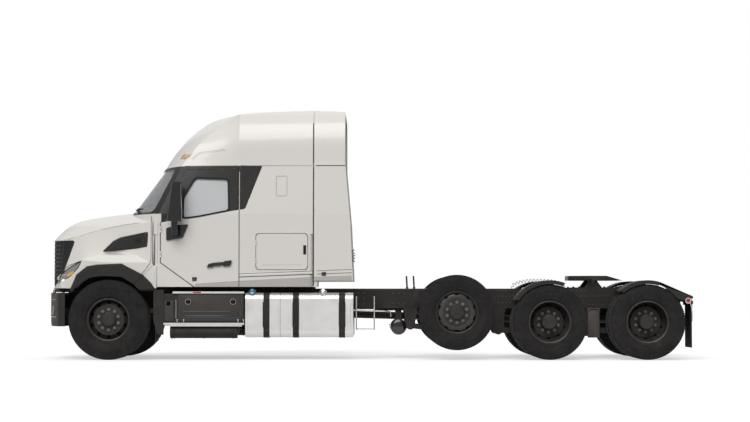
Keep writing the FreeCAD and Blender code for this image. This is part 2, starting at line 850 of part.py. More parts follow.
def cab_form(inset, floor):
    """The cab's outer form, moved inwards by a distance, with its underside at a height."""
    rear = cab_rear_x - inset
    front = cab_front_x + inset
    front_half = cab_front_half - inset
    half = cab_mid_half - inset
    lower = prism(
        "XY",
        [(front, -front_half, cab_corner_r), (cab_mid_x, -half), (rear, -half, cab_corner_r),
         (rear, half, cab_corner_r), (cab_mid_x, half), (front, front_half, cab_corner_r)],
        floor, belt_z,
    )
    cowl_plan = arc_plan(
        cowl_nose_x + inset, front, front_half, half, half, cowl_bottom + inset, rear
    )
    cowl = Part.Face(cowl_plan).extrude(Vector(0, 0, belt_z - cowl_bottom - inset))
    belt = arc_plan(
        belt_nose_x + inset, belt_corner_x + inset, belt_corner_half - inset, half, half, belt_z, rear
    )
    top = arc_plan(
        top_nose_x + inset, top_corner_x + inset, top_corner_half - inset, top_mid_half - inset,
        top_rear_half - inset, cab_top - inset, rear,
    )
    upper = Part.makeLoft([belt, top], True, True)
    return fused([lower, cowl, upper])


# Door, its window and the windscreen
door_outline = (
    (-2890.0, 1369.0), (-2890.0, 1926.0), (-2830.0, 2021.0), (-2547.0, 2672.0), (-1792.0, 2672.0),
    (-1792.0, 1024.0), (-2413.0, 1024.0),
)
door_glass_outline = (
    (-2575.0, 1985.0, 50.0), (-2575.0, 2271.0, 60.0), (-2404.0, 2557.0, 60.0), (-1945.0, 2535.0, 60.0),
    (-1931.0, 2100.0, 60.0), (-2346.0, 2014.0, 90.0),
)
glass_depth = 14.0
glass_thick = 6.0
side_reach = 900.0
screen_low = 2075.0
screen_high = 2685.0
screen_low_half = 1035.0
screen_high_half = 950.0
screen_corner = 70.0
screen_back_x = -2480.0

# Luggage door in the sleeper's side, and its frame
hatch_x0 = -1547.0
hatch_x1 = -828.0
hatch_z0 = 1268.0
hatch_z1 = 1768.0
hatch_r = 50.0
hatch_thick = 30.0


hinge_room = 4.0
hinge_reach_share = 5.0
pin_share = 0.45
rib_share = 2.4
door_hinge = (-2885.0, 1160.0, (1480.0, 1830.0), 9.0)
hatch_hinge = (hatch_x0 + 5.0, 1223.0, (1390.0, 1650.0), 6.0)


def grown(outline, gap):
    """An outline scaled about its middle so that it stands a gap outside the old one."""
    us = [p[0] for p in outline]
    vs = [p[1] for p in outline]
    cu = (min(us) + max(us)) / 2
    cv = (min(vs) + max(vs)) / 2
    fu = 1 + 2 * gap / (max(us) - min(us))
    fv = 1 + 2 * gap / (max(vs) - min(vs))
    return [(cu + (p[0] - cu) * fu, cv + (p[1] - cv) * fv) + tuple(p[2:]) for p in outline]


def left_prism(outline):
    """A prism through the left wall only."""
    return prism("XZ", outline, -half_width - overrun, -side_reach)


def left_opening(outline, depth):
    """What an outline cuts from the left wall, no deeper than the wall and a gap."""
    deep = cab_form(-panel_gap, cab_bottom - overrun).cut(cab_form(depth, cab_bottom - 2 * overrun))
    return deep.common(left_prism(outline))


def hinge_leaves(x, y, heights, radius):
    """A hinge at each height on one upright line: the room it needs, the door's barrels with
    their ribs, and the wall's ears with their pins."""
    rooms = []
    barrels = []
    ears = []
    pin_r = radius * pin_share
    for z in heights:
        reach = radius * hinge_reach_share
        third = reach / 3
        rooms.append(rod((x, -y, z - reach), (x, -y, z + reach), radius + hinge_room))
        barrel = rod((x, -y, z - third + 1), (x, -y, z + third - 1), radius)
        rib = box(x, x + radius * rib_share, -y, -y + radius, z - third + 1, z + third - 1)
        bore = rod((x, -y, z - reach), (x, -y, z + reach), pin_r + seat_gap)
        barrels.append(barrel.fuse(rib).cut(bore).removeSplitter())
        for low in (z - reach + 1, z + third):
            high = low + third * 2 - 1
            ear = rod((x, -y, low), (x, -y, high), radius)
            foot = box(x - radius * rib_share, x, -y, -y + radius, low, high)
            ears.append(ear.fuse(foot).removeSplitter())
        ears.append(rod((x, -y, z - reach + 2), (x, -y, z + reach - 2), pin_r))
    return rooms, barrels, ears


def hatch_outline(grow):
    """The luggage door's rounded rectangle, larger all round by a distance."""
    return [
        (hatch_x0 - grow, hatch_z0 - grow, hatch_r), (hatch_x1 + grow, hatch_z0 - grow, hatch_r),
        (hatch_x1 + grow, hatch_z1 + grow, hatch_r), (hatch_x0 - grow, hatch_z1 + grow, hatch_r),
    ]


def side_wall():
    """Only the upright walls of the cab, without its floor or roof."""
    return cab_form(0, cab_bottom).cut(cab_form(cab_wall, cab_bottom - overrun))


def door():
    """The left door, a slice of the cab's side with its window cut out."""
    panel = side_wall().common(left_prism(door_outline))
    rooms, barrels, _ = hinge_leaves(*door_hinge)
    return fused([panel.cut([left_prism(door_glass_outline)] + rooms)] + barrels)


def door_glass():
    """The left door's pane, set into its window."""
    pane = cab_form(glass_depth, cab_bottom).cut(cab_form(glass_depth + glass_thick, cab_bottom - overrun))
    return pane.common(left_prism(door_glass_outline))


def hatch_door():
    """The left luggage door."""
    skin = cab_form(0, cab_bottom).cut(cab_form(hatch_thick, cab_bottom - overrun))
    rooms, barrels, _ = hinge_leaves(*hatch_hinge)
    return fused([skin.common(left_prism(hatch_outline(0))).cut(rooms)] + barrels)


screen_outline = (
    (-screen_low_half, screen_low, screen_corner), (screen_low_half, screen_low, screen_corner),
    (screen_high_half, screen_high, screen_corner), (-screen_high_half, screen_high, screen_corner),
)


def screen_prism():
    """The windscreen's outline seen from the front, pushed through the front of the cab."""
    return prism("YZ", screen_outline, -half_length, screen_back_x)


def windscreen():
    """The curved windscreen, set into its frame."""
    pane = cab_form(glass_depth, cab_bottom).cut(cab_form(glass_depth + glass_thick, cab_bottom))
    return pane.common(screen_prism())


def cab_shell():
    """The hollow cab and sleeper, with the openings for doors, hatches and windscreen."""
    shell = cab_form(0, cab_bottom).cut(cab_form(cab_wall, cab_bottom + cab_wall))
    cuts = [screen_prism()]
    for outline in (grown(door_outline, panel_gap), hatch_outline(panel_gap)):
        cutter = left_opening(outline, cab_wall + panel_gap)
        cuts += [cutter, mirrored(cutter)]
    ears = hinge_leaves(*door_hinge)[2] + hinge_leaves(*hatch_hinge)[2]
    return fused([shell.cut(cuts)] + ears + [mirrored(ear) for ear in ears])


# Raised roof: for each height, the nose, the front corner and the half widths of its plan
roof_levels = (
    (cab_top, -2926.0, -2608.0, 1058.0, 1178.0, 1188.0),
    (2950.0, -2790.0, -2440.0, 1035.0, 1172.0, 1182.0),
    (3150.0, -2620.0, -2250.0, 985.0, 1150.0, 1164.0),
    (3300.0, -2450.0, -2080.0, 900.0, 1095.0, 1120.0),
    (3420.0, -2280.0, -1960.0, 780.0, 1000.0, 1040.0),
    (3510.0, -2120.0, -1880.0, 600.0, 830.0, 900.0),
    (3590.0, -1960.0, -1810.0, 380.0, 560.0, 660.0),
)
roof_crown = (
    (-2926.0, 2777.0), (-2687.0, 3090.0), (-2508.0, 3250.0), (-2299.0, 3385.0), (-2090.0, 3432.0),
    (-1792.0, 3475.0), (-1196.0, 3518.0), (-778.0, 3531.0), (-299.0, 3503.0),
)
roof_wall = 30.0
fairing_rear_top_x = -299.0


def roof_form(inset):
    """The raised roof's form over its whole length, cab part and rear fairing together."""
    wires = []
    for z, nose, corner, corner_half, mid_half, rear_half in roof_levels:
        level = z - (inset if z > roof_levels[0][0] else 0)
        wires.append(
            arc_plan(nose + inset, corner + inset, corner_half - inset, mid_half - inset, rear_half - inset,
                     level, fairing_rear_top_x)
        )
    body = Part.makeLoft(wires, True, False)
    low = roof_levels[0][0]
    crown = [(x, z - inset) for x, z in roof_crown]
    crown[0] = (roof_crown[0][0] + inset, roof_crown[0][1])
    start = [(roof_crown[0][0] + inset, low - overrun)]
    curve = Part.BSplineCurve()
    curve.interpolate([Vector(x, -overrun, z) for x, z in crown])
    first = Vector(crown[0][0], -overrun, crown[0][1])
    last = Vector(crown[-1][0], -overrun, crown[-1][1])
    under_last = Vector(crown[-1][0], -overrun, low - overrun)
    under_first = Vector(start[0][0], -overrun, start[0][1])
    wire = Part.Wire([
        curve.toShape(), Part.makeLine(last, under_last), Part.makeLine(under_last, under_first),
        Part.makeLine(under_first, first),
    ])
    cutter = Part.Face(wire).extrude(Vector(0, overrun * 2, 0))
    return body.common(cutter)


def roof_shell():
    """The raised roof's shell, open below and behind."""
    return roof_form(0).cut(roof_form(roof_wall))


fairing_mid_x = -227.0
fairing_low_x = -189.0
fairing_mid_z = 1930.0
fairing_low_z = 1110.0
fairing_thick = 24.0
fairing_ties = (1240.0, 1900.0)
tie_length = 60.0


def split_roof():
    """The raised roof in front of the seam, and the fairing hood behind it."""
    whole = roof_shell()
    seam = cab_rear_x + panel_gap
    ahead = box(-half_length, cab_rear_x, -half_width, half_width, 0, half_length)
    behind = box(seam, 0, -half_width, half_width, 0, half_length)
    return whole.common(ahead), whole.common(behind)


def side_fairings():
    """The side panels behind the sleeper, joined over the top by the fairing hood."""
    seam = cab_rear_x + panel_gap
    low = roof_levels[0][0]
    outline = [
        (seam, fairing_low_z), (fairing_low_x, fairing_low_z), (fairing_mid_x, fairing_mid_z),
        (fairing_rear_top_x, low), (seam, low),
    ]
    lean = cab_mid_half - top_rear_half
    slant = [
        (-cab_mid_half, fairing_low_z), (-cab_mid_half + fairing_thick, fairing_low_z),
        (-cab_mid_half + fairing_thick, belt_z), (-top_rear_half + fairing_thick, low + lean),
        (-top_rear_half, low + lean), (-cab_mid_half, belt_z),
    ]
    sheet = prism("YZ", slant, seam, 0)
    wide = prism("XZ", outline[:3] + [(fairing_rear_top_x, low + lean), (seam, low + lean)],
                 -half_width - overrun, 0)
    side = sheet.common(wide)
    hood_part = split_roof()[1]
    ties = []
    for z in fairing_ties:
        tie = box(cab_rear_x, cab_rear_x + tie_length, -cab_mid_half + fairing_thick / 2,
            -cab_mid_half + tie_length,
                  z, z + tie_length)
        ties += [tie, mirrored(tie)]
    return fused([side, mirrored(side), hood_part] + ties)


# Hood: stations along X with the crease's half width and height, and the crown's height
hood_stations = (
    (-4560.0, 300.0, 1640.0, 1668.0),
    (-4480.0, 420.0, 1680.0, 1770.0),
    (-4327.0, 540.0, 1705.0, 1906.0),
    (-4089.0, 690.0, 1755.0, 2001.0),
    (-3820.0, 800.0, 1830.0, 2046.0),
    (-3433.0, 985.0, 1900.0, 2092.0),
    (-2950.0, 1135.0, 1950.0, 2130.0),
)
hood_foot_flare = 50.0
hood_bottom = 1004.0
hood_wall = 16.0
nose_x = -4529.0
nose_corner_x = -4290.0
nose_corner_half = 1150.0
hood_gap = 6.0
fender_half = 1188.0
fender_inner = 480.0
fender_profile = (
    (-4640.0, 1004.0), (-4400.0, 1060.0, 60.0), (-4170.0, 1310.0, 160.0), (-3988.0, 1408.0, 120.0),
    (-3804.0, 1466.0, 200.0), (-3534.0, 1505.0, 400.0), (-3313.0, 1513.0, 120.0), (-3052.0, 1369.0, 90.0),
    (-2980.0, 1240.0), (-2980.0, 1004.0),
)
fender_round = 70.0
seam_line = (
    (-2960.0, 2300.0), (-2989.0, 1326.0), (-3254.0, 1061.0), (-3254.0, 900.0), (-2500.0, 900.0),
    (-2500.0, 2300.0),
)
arch_outline = (
    (-4140.0, 900.0), (-4084.0, 1022.0, 60.0), (-3901.0, 1148.0, 120.0), (-3727.0, 1176.0, 200.0),
    (-3437.0, 1166.0, 120.0), (-3274.0, 1071.0, 60.0), (-3149.0, 945.0), (-3149.0, 900.0),
)
flare_outline = (
    (-4161.0, 974.0), (-4065.0, 1196.0, 60.0), (-3920.0, 1312.0, 90.0), (-3775.0, 1336.0, 90.0),
    (-3437.0, 1350.0, 90.0), (-3139.0, 1196.0, 60.0), (-3013.0, 1071.0, 60.0), (-2966.0, 994.0),
)
flare_half = 1240.0
liner_r = 700.0
liner_wall = 8.0
liner_inner = 520.0


def arc_front(nose, corner, half, back, z0, z1):
    """A block with a bowed front face, between two heights."""
    front = Part.Arc(Vector(corner, -half, z0), Vector(nose, 0, z0), Vector(corner, half, z0)).toShape()
    points = [Vector(corner, half, z0), Vector(back, fender_half + overrun / 10, z0),
              Vector(back, -fender_half - overrun / 10, z0), Vector(corner, -half, z0)]
    lines = [Part.makeLine(points[i], points[i + 1]) for i in range(len(points) - 1)]
    return Part.Face(Part.Wire([front] + lines)).extrude(Vector(0, 0, z1 - z0))


def build_hood_form(inset, low):
    """The hood with its fenders, moved inwards by a distance, down to a height."""
    wires = []
    for x, half, crease, crown in hood_stations:
        y = half - inset
        foot = y + hood_foot_flare
        arch = Part.Arc(
            Vector(x, -y, crease - inset), Vector(x, 0, crown - inset), Vector(x, y, crease - inset)
        ).toShape()
        corners = [Vector(x, y, crease - inset), Vector(x, foot, low), Vector(x, -foot, low),
                   Vector(x, -y, crease - inset)]
        lines = [Part.makeLine(corners[i], corners[i + 1]) for i in range(len(corners) - 1)]
        wires.append(Part.Wire([arch] + lines))
    centre = Part.makeLoft(wires, True, False)
    profile = [(p[0], p[1] - inset) + tuple(p[2:]) for p in fender_profile]
    profile[0] = (fender_profile[0][0], low)
    profile[-1] = (fender_profile[-1][0], low)
    half = fender_half - inset
    fenders = prism("XZ", profile, -half, half)
    bevels = []
    for side in (-1, 1):
        edge = [
            (side * (half + overrun), hood_bottom + overrun), (side * (half - fender_round * 3),
            hood_bottom + overrun),
            (side * (half - fender_round * 3), fender_profile[5][1] - inset),
            (side * (half - fender_round), fender_profile[5][1] - inset - fender_round / 2),
            (side * half, fender_profile[5][1] - inset - fender_round * 2),
            (side * (half + overrun), hood_bottom),
        ]
        bevels.append(prism("YZ", edge, -half_length - overrun, 0))
    body = fused([centre, fenders.cut(bevels)])
    nose = arc_front(nose_x + inset, nose_corner_x + inset, nose_corner_half - inset, 0, low, cab_top)
    return body.common(nose)


built_forms = {}


def hood_form(inset, low):
    """The hood's form at an inset, built once and kept."""
    if (inset, low) not in built_forms:
        built_forms[(inset, low)] = build_hood_form(inset, low)
    return built_forms[(inset, low)]


def cab_side_of_seam(gap):
    """The space that belongs to the cab: its own form, and all behind the fender's seam."""
    behind = prism("XZ", [(u - gap, v) for u, v in seam_line], -half_width - overrun, half_width + overrun)
    return behind


vent_outline = (
    (-3735.0, 1530.0, 30.0), (-3580.0, 1670.0, 40.0), (-3480.0, 1715.0, 40.0), (-3080.0, 1790.0, 25.0),
    (-3090.0, 1595.0, 60.0), (-3230.0, 1570.0, 40.0),
)
grille_outline = (
    (-4700.0, 1016.0), (-4415.0, 1016.0, 20.0), (-4400.0, 1075.0, 60.0), (-4165.0, 1690.0, 30.0),
    (-4700.0, 1690.0),
)
headlight_outline = (
    (-4440.0, 1068.0, 12.0), (-4330.0, 1060.0, 20.0), (-4150.0, 1170.0, 40.0), (-4040.0, 1290.0, 20.0),
    (-3990.0, 1408.0, 10.0), (-4190.0, 1330.0, 60.0), (-4400.0, 1100.0, 20.0),
)
light_inner = 560.0


def vent_prism():
    """Both side vents' outline, pushed in from the left."""
    return prism("XZ", vent_outline, -half_width - overrun, -hood_stations[2][1])


def grille_prism(gap):
    """The grille's outline from the side, right through the nose."""
    outline = [(p[0] + gap, p[1]) + tuple(p[2:]) for p in grille_outline]
    return prism("XZ", outline, -half_width - overrun, half_width + overrun)


def light_prism():
    """The left headlight's outline from the side."""
    return prism("XZ", headlight_outline, -half_width - overrun, -light_inner)


def arch_prism():
    """The wheel arch's opening, through the left fender."""
    return prism("XZ", arch_outline, -half_width - overrun, -fender_inner)


def liner():
    """The left wheel well's arched liner."""
    ring = rod((front_axle_x, -fender_half + hood_wall, front_tyre_r),
        (front_axle_x, -liner_inner, front_tyre_r), liner_r)
    inner = rod(
        (front_axle_x, -half_width, front_tyre_r), (front_axle_x, 0, front_tyre_r), liner_r - liner_wall
    )
    keep = box(-half_length, half_length, -half_width, 0, hood_bottom, cab_top)
    return ring.cut(inner).common(keep)


def hood_group():
    """The hood's shell, cut from the cab's form, with its grille, headlights and vents open."""
    outer = hood_form(0, hood_bottom)
    shell = outer.cut(hood_form(hood_wall, hood_bottom - overrun))
    wells = [liner(), mirrored(liner())]
    shell = fused([shell] + [w.common(outer) for w in wells])
    vent = vent_prism()
    light = light_prism()
    arch = arch_prism()
    cuts = [cab_form(-hood_gap, cab_bottom - overrun / 10), cab_side_of_seam(hood_gap), grille_prism(0)]
    cuts += [vent, mirrored(vent), light, mirrored(light), arch, mirrored(arch)]
    return shell.cut(cuts)


# Hood hinge: lugs with a pin under the nose, in ears that stand on the bumper's brackets
hood_pin_x = -4495.0
hood_pin_z = 960.0
hood_pin_r = 9.0
lug_half = 12.0
lug_y = 390.0
ear_y = 410.0
ear_half = 20.0
ear_thick = 12.0


def hood_shell():
    """The hood's shell with its two hinge lugs and pins."""
    pieces = [hood_group()]
    for side in (-1, 1):
        y = side * lug_y
        lug_x1 = hood_pin_x + lug_half
        pieces.append(box(hood_pin_x - lug_half, lug_x1, y - lug_half, y + lug_half, hood_pin_z - lug_half,
                          hood_bottom + lug_half))
        far = side * (ear_y + ear_thick)
        pieces.append(rod((hood_pin_x, y, hood_pin_z), (hood_pin_x, far, hood_pin_z), hood_pin_r))
    return fused(pieces)


def hood_ears():
    """The ears that carry the hood's pins, standing on the bumper's brackets."""
    ears = []
    for side in (-1, 1):
        y0 = side * ear_y - ear_thick / 2
        ear = box(hood_pin_x - ear_half, hood_pin_x + ear_half, y0, y0 + ear_thick,
                  rail_bottom + bracket_height - rail_wall, hood_pin_z + ear_half)
        ears.append(ear)
    hole = rod((hood_pin_x, -half_width, hood_pin_z), (hood_pin_x, half_width, hood_pin_z),
        hood_pin_r + seat_gap)
    return [ear.cut(hole) for ear in ears]


grille_set_back = 8.0
grille_depth = 40.0
light_set_back = 5.0
light_depth = 70.0
vent_set_back = 8.0
vent_depth = 12.0


def grille():
    """The black grille that wraps the nose, set a little behind the hood's skin."""
    low = hood_bottom
    skin = hood_form(grille_set_back, low).cut(hood_form(grille_set_back + grille_depth, low - overrun))
    return skin.common(grille_prism(-seat_gap))


def headlights():
    """Both headlights, lens and housing in one, set into the fenders' front corners."""
    low = hood_bottom
    skin = hood_form(light_set_back, low).cut(hood_form(light_set_back + light_depth, low - overrun))
    return both(skin.common(light_prism()))


def hood_vents():
    """The mesh panels of both side vents."""
    low = hood_bottom
    skin = hood_form(vent_set_back, low).cut(hood_form(vent_set_back + vent_depth, low - overrun))
    return both(skin.common(vent_prism()))


flare_bevel = 26.0


def flare():
    """The left wheel's whole dark flare, ahead of and behind the seam together."""
    low_rear = flare_outline[-1]
    low_front = flare_outline[0]
    outline = list(flare_outline) + [(low_rear[0] - flare_bevel, low_rear[1] - flare_bevel),
                                     (low_front[0] + flare_bevel, low_front[1] - flare_bevel)]
    block = prism("XZ", outline, -flare_half, -fender_half)
    inside = grown(outline, -flare_bevel)
    bevel = Part.makeLoft(
        [outline_wire("XZ", [(p[0], p[1]) for p in outline], -flare_half + flare_bevel),
         outline_wire("XZ", [(p[0], p[1]) for p in inside], -flare_half)], True, True,
    )
    low = prism("XZ", [(p[0], p[1]) for p in outline], -flare_half + flare_bevel, -fender_half)
    return low.fuse(bevel).cut(arch_prism()).removeSplitter()


def hood_flares():
    """Both flares' front parts, carried by the hood."""
    return both(flare().cut(cab_side_of_seam(hood_gap)))


def cab_flares():
    """Both flares' rear parts, carried by the cab."""
    return both(flare().common(cab_side_of_seam(0)).cut([cab_form(0, 0), cab_fenders()]))


def cab_fenders():
    """The fenders' rear corners that stay on the cab when the hood tilts."""
    skin = hood_form(0, hood_bottom).cut(hood_form(hood_wall, hood_bottom - overrun))
    left = box(-half_length, half_length, -half_width - overrun, -light_inner, 0, half_length)
    part = skin.common([cab_side_of_seam(0)]).common([left]).cut([cab_form(0, 0), arch_prism()])
    top = seam_line[1][1]
    keep = box(-half_length, half_length, -half_width, 0, hood_bottom, top)
    return both(part.common(keep))


# Tanks, boxes and steps along the frame
tank_front_x = -1697.0
tank_split_x = -1207.0
tank_rear_x = -187.0
tank_half_out = 1215.0
tank_half_in = 640.0
tank_bottom = 315.0
tank_top = 942.0
tank_r = 95.0
tank_gap = 4.0
strap_places = (-1400.0, -988.0, -342.0)
strap_width = 86.0
strap_thick = 5.0
cap_r = 50.0
cap_length = 34.0
cap_places = (-1602.0, -608.0)
cap_y = 1090.0


def tank_outline(grow):
    """The tank's section from behind, larger all round by a distance."""
    r = tank_r + grow
    return [
        (-tank_half_out - grow, tank_bottom - grow, r), (-tank_half_in + grow, tank_bottom - grow, r),
        (-tank_half_in + grow, tank_top + grow, r), (-tank_half_out - grow, tank_top + grow, r),
    ]


def fuel_tanks():
    """On each side the short fluid tank and the long fuel tank, end to end."""
    short = prism("YZ", tank_outline(0), tank_front_x, tank_split_x - tank_gap / 2)
    long = prism("YZ", tank_outline(0), tank_split_x + tank_gap / 2, tank_rear_x)
    return both(Part.makeCompound([short, long]))


def tank_caps():
    """A filler cap on each tank, on a short neck."""
    caps = []
    for x in cap_places:
        neck = rod((x, -cap_y, tank_top), (x, -cap_y, tank_top + cap_length / 2), cap_r * 0.7)
        lid = rod((x, -cap_y, tank_top + cap_length / 2), (x, -cap_y, tank_top + cap_length), cap_r)
        caps.append(fused([neck, lid]))
    return both(Part.makeCompound(caps))


def tank_straps():
    """The straps around the tanks, with the brackets that carry them on the rails."""
    pieces = []
    for x in strap_places:
        band = prism("YZ", tank_outline(strap_thick), x - strap_width / 2, x + strap_width / 2)
        band = band.cut(prism("YZ", tank_outline(0), x - strap_width, x + strap_width))
        bracket_low = rail_bottom - rail_flange
        arm = [
            (-rail_half, rail_top - rail_wall), (-rail_half, bracket_low),
            (-tank_half_in + strap_thick, tank_bottom + tank_r),
            (-tank_half_in, tank_bottom + tank_r), (-tank_half_in, tank_top - tank_r),
        ]
        bracket = prism("YZ", arm, x - rail_wall, x + rail_wall)
        pieces.append(fused([band, bracket]))
    return both(Part.makeCompound(pieces))


box_front_x = -2841.0
box_rear_x = -1714.0
box_out = 1200.0
box_in = 620.0
box_bottom = 520.0
box_top = 930.0
box_r = 24.0
tread_thick = 28.0
tread_out = 1222.0
tread_depth = 250.0
can_x0 = -2756.0
can_x1 = -1812.0
can_z = 390.0
can_r = 88.0
can_y = 1095.0


def side_boxes():
    """The battery box on each side, with the arms that bolt it to the rail."""
    outline = [(-box_out, box_bottom, box_r), (-box_in, box_bottom, box_r), (-box_in, box_top, box_r),
               (-box_out, box_top, box_r)]
    body = prism("YZ", outline, box_front_x, box_rear_x)
    pieces = [body]
    span = box_rear_x - box_front_x
    for share in (0.2, 0.8):
        x = box_front_x + span * share
        pieces.append(box(x - strap_width / 2, x + strap_width / 2, -box_in, -rail_half,
            rail_bottom + rail_wall,
                          rail_top - rail_flange))
    return both(fused(pieces))


def side_steps():
    """The bright step treads above and below each side box."""
    top = box(box_front_x + tread_depth / 2, box_rear_x, -tread_out, -tread_out + tread_depth, box_top,
        box_top + tread_thick)
    low = box(box_front_x, box_rear_x, -tread_out, -tread_out + tread_depth, box_bottom - tread_thick,
        box_bottom)
    return both(Part.makeCompound([top, low]))


def exhaust_cans():
    """The round canister under each side box."""
    can = rod((can_x0, -can_y, can_z), (can_x1, -can_y, can_z), can_r)
    low = box_bottom - tread_thick
    posts = []
    for x in (can_x0 + strap_width, can_x1 - strap_width):
        posts.append(box(x - strap_width / 2, x + strap_width / 2, -can_y - can_r / 3,
            -can_y + can_r / 3, can_z, low))
    return both(fused([can] + posts))


guard_front_x = -2984.0
guard_flap_x = -2930.0
guard_flap_thick = 12.0
guard_top = 983.0
guard_bottom = 354.0
guard_in = 660.0
guard_skirt_in = 1190.0
guard_skirt_out = 1210.0


def splash_guards():
    """The guard behind each front wheel: a flap across and a skirt at its outer edge."""
    flap = box(guard_flap_x, guard_flap_x + guard_flap_thick, -guard_skirt_out, -guard_in, guard_bottom,
        guard_top)
    skirt = prism(
        "XZ",
        [(guard_front_x, guard_top), (guard_front_x, 560.0), (guard_flap_x, guard_bottom),
        (box_front_x, guard_bottom),
         (box_front_x, guard_top)],
        -guard_skirt_out, -guard_skirt_in,
    )
    foot = box(guard_flap_x, box_front_x, -guard_in - box_r, -guard_in, box_bottom + box_r, box_top - box_r)
    return both(fused([flap, skirt, foot]).cut([flare(), cab_form(0, 0)]))


def cab_mounts():
    """Pads between the rails and the cab's floor."""
    pads = []
    for x in (cab_front_x + cross_length, cab_mid_x, cab_rear_x - cross_length):
        pads.append(box(x - cross_length / 2, x + cross_length / 2, -rail_half, -rail_half + rail_flange,
            rail_top,
                        cab_bottom))
    return both(Part.makeCompound(pads))


# Air tanks, access step and rear end
air_tank_x = 460.0
air_tank_z = 452.0
air_tank_r = 112.0
air_tank_y0 = 120.0
air_tank_y1 = 370.0


def air_tanks():
    """The two air tanks across the frame, each on its hanger."""
    tank = rod((air_tank_x, -air_tank_y1, air_tank_z), (air_tank_x, -air_tank_y0, air_tank_z), air_tank_r)
    y = -air_tank_y1 + rail_wall
    hanger = box(air_tank_x - strap_width / 2, air_tank_x + strap_width / 2, y - rail_wall, y + rail_wall,
                 air_tank_z, rail_bottom)
    return both(fused([tank, hanger]))


step_x0 = -145.0
step_x1 = 110.0
step_y = 700.0
step_depth = 110.0
step_top = 880.0
step_bottom = 425.0
step_mid = 700.0
step_r = 8.0
upright_r = 10.0
rung_r = 6.5


def access_step():
    """The tube ladder on the left rail that leads up behind the cab."""
    pieces = []
    inner_y = -step_y + step_depth
    for x in (step_x0, step_x1):
        pieces.append(rod((x, -rail_half, step_top), (x, -step_y, step_top), step_r))
        pieces.append(rod((x, -step_y, step_top + upright_r * 1.2),
            (x, -step_y, step_bottom - upright_r * 1.2), upright_r))
        for z in (step_mid, step_bottom):
            pieces.append(rod((x, -step_y, z), (x, inner_y, z), step_r))
    for z in (step_mid, step_bottom):
        pieces.append(rod((step_x0, -step_y, z), (step_x1, -step_y, z), rung_r))
        pieces.append(rod((step_x0 - upright_r, inner_y, z), (step_x1 + upright_r, inner_y, z), upright_r))
    return fused(pieces)


guard_r = 580.0
guard_sheet = 6.0
guard_in_y = 640.0
guard_out_y = 1232.0
first_guard = (-58.0, 22.0)
second_guard = (-42.0, 18.0)
guard_post_r = 14.0
guard_tail_x = half_length
guard_tail_z = 885.0
flap_x = 4545.0
flap_thick = 10.0
flap_bottom = 172.0
flap_top = 830.0
flap_in_y = 640.0
bar_z = 845.0
bar_half = 32.0


def guard_sheet_over(x, start, stop, tail):
    """A curved sheet over one drive wheel between two angles from upright, front negative."""
    z = dual_tyre_r

    def at(angle, radius):
        turn = math.radians(angle)
        return Vector(x + radius * math.sin(turn), -guard_out_y, z + radius * math.cos(turn))

    middle = (start + stop) / 2
    outer = guard_r + guard_sheet
    edges = [Part.Arc(at(start, outer), at(middle, outer), at(stop, outer)).toShape()]
    low = Vector(guard_tail_x, -guard_out_y, guard_tail_z)
    if tail:
        high = Vector(guard_tail_x, -guard_out_y, guard_tail_z + guard_sheet)
        edges.append(Part.makeLine(at(stop, outer), high))
        edges.append(Part.makeLine(high, low))
        edges.append(Part.makeLine(low, at(stop, guard_r)))
    else:
        edges.append(Part.makeLine(at(stop, outer), at(stop, guard_r)))
    edges.append(Part.Arc(at(stop, guard_r), at(middle, guard_r), at(start, guard_r)).toShape())
    edges.append(Part.makeLine(at(start, guard_r), at(start, outer)))
    return Part.Face(Part.Wire(edges)).extrude(Vector(0, guard_out_y - guard_in_y, 0))


def mudguards():
    """The guards over the drive wheels, each on a tube from the rail."""
    guards = []
    for x, (start, stop), tail in ((drive_axle_x, first_guard, False),
                                   (drive_axle_x + drive_spacing, second_guard, True)):
        sheet = guard_sheet_over(x, start, stop, tail)
        turn = math.radians(start + 3)
        reach = guard_r - guard_post_r + guard_sheet / 2
        px = x + reach * math.sin(turn)
        pz = min(dual_tyre_r + reach * math.cos(turn), rail_top - guard_post_r * 2)
        post = rod((px, -rail_half, pz), (px, -guard_out_y, pz), guard_post_r)
        guards.append(fused([sheet, post]))
    return both(Part.makeCompound(guards))


def rear_bar():
    """The bar across the frame's end that carries the lamps and mudflaps."""
    tube = box(flap_x - bar_half * 2, flap_x, -guard_out_y, -rail_half, bar_z - bar_half, bar_z + bar_half)
    return both(tube)


def mudflaps():
    """The hanging flap behind each pair of drive wheels, with the clamp strip along its top."""
    flap = box(flap_x, flap_x + flap_thick, -guard_out_y, -flap_in_y, flap_bottom, flap_top)
    clamp = box(flap_x + flap_thick, half_length, -guard_out_y, -flap_in_y, bar_z - bar_half * 2, flap_top)
    return both(fused([flap, clamp]))


# Fifth wheel
coupler_x0 = 2913.0
coupler_x1 = 3710.0
coupler_half = 455.0
coupler_top = 1186.0
coupler_thick = 22.0
coupler_skirt = 44.0
coupler_pin_x = 3262.0
coupler_pin_z = 1104.0
coupler_pin_r = 24.0
jaw_x = 3262.0
jaw_r = 26.0
throat_half = 190.0
base_x0 = 2930.0
base_x1 = 3620.0
base_thick = 16.0
lug_in = 300.0
lug_out = 345.0
stand_gap = 5.0
stand_out = 400.0
stand_half = 70.0
lug_half_x = 60.0


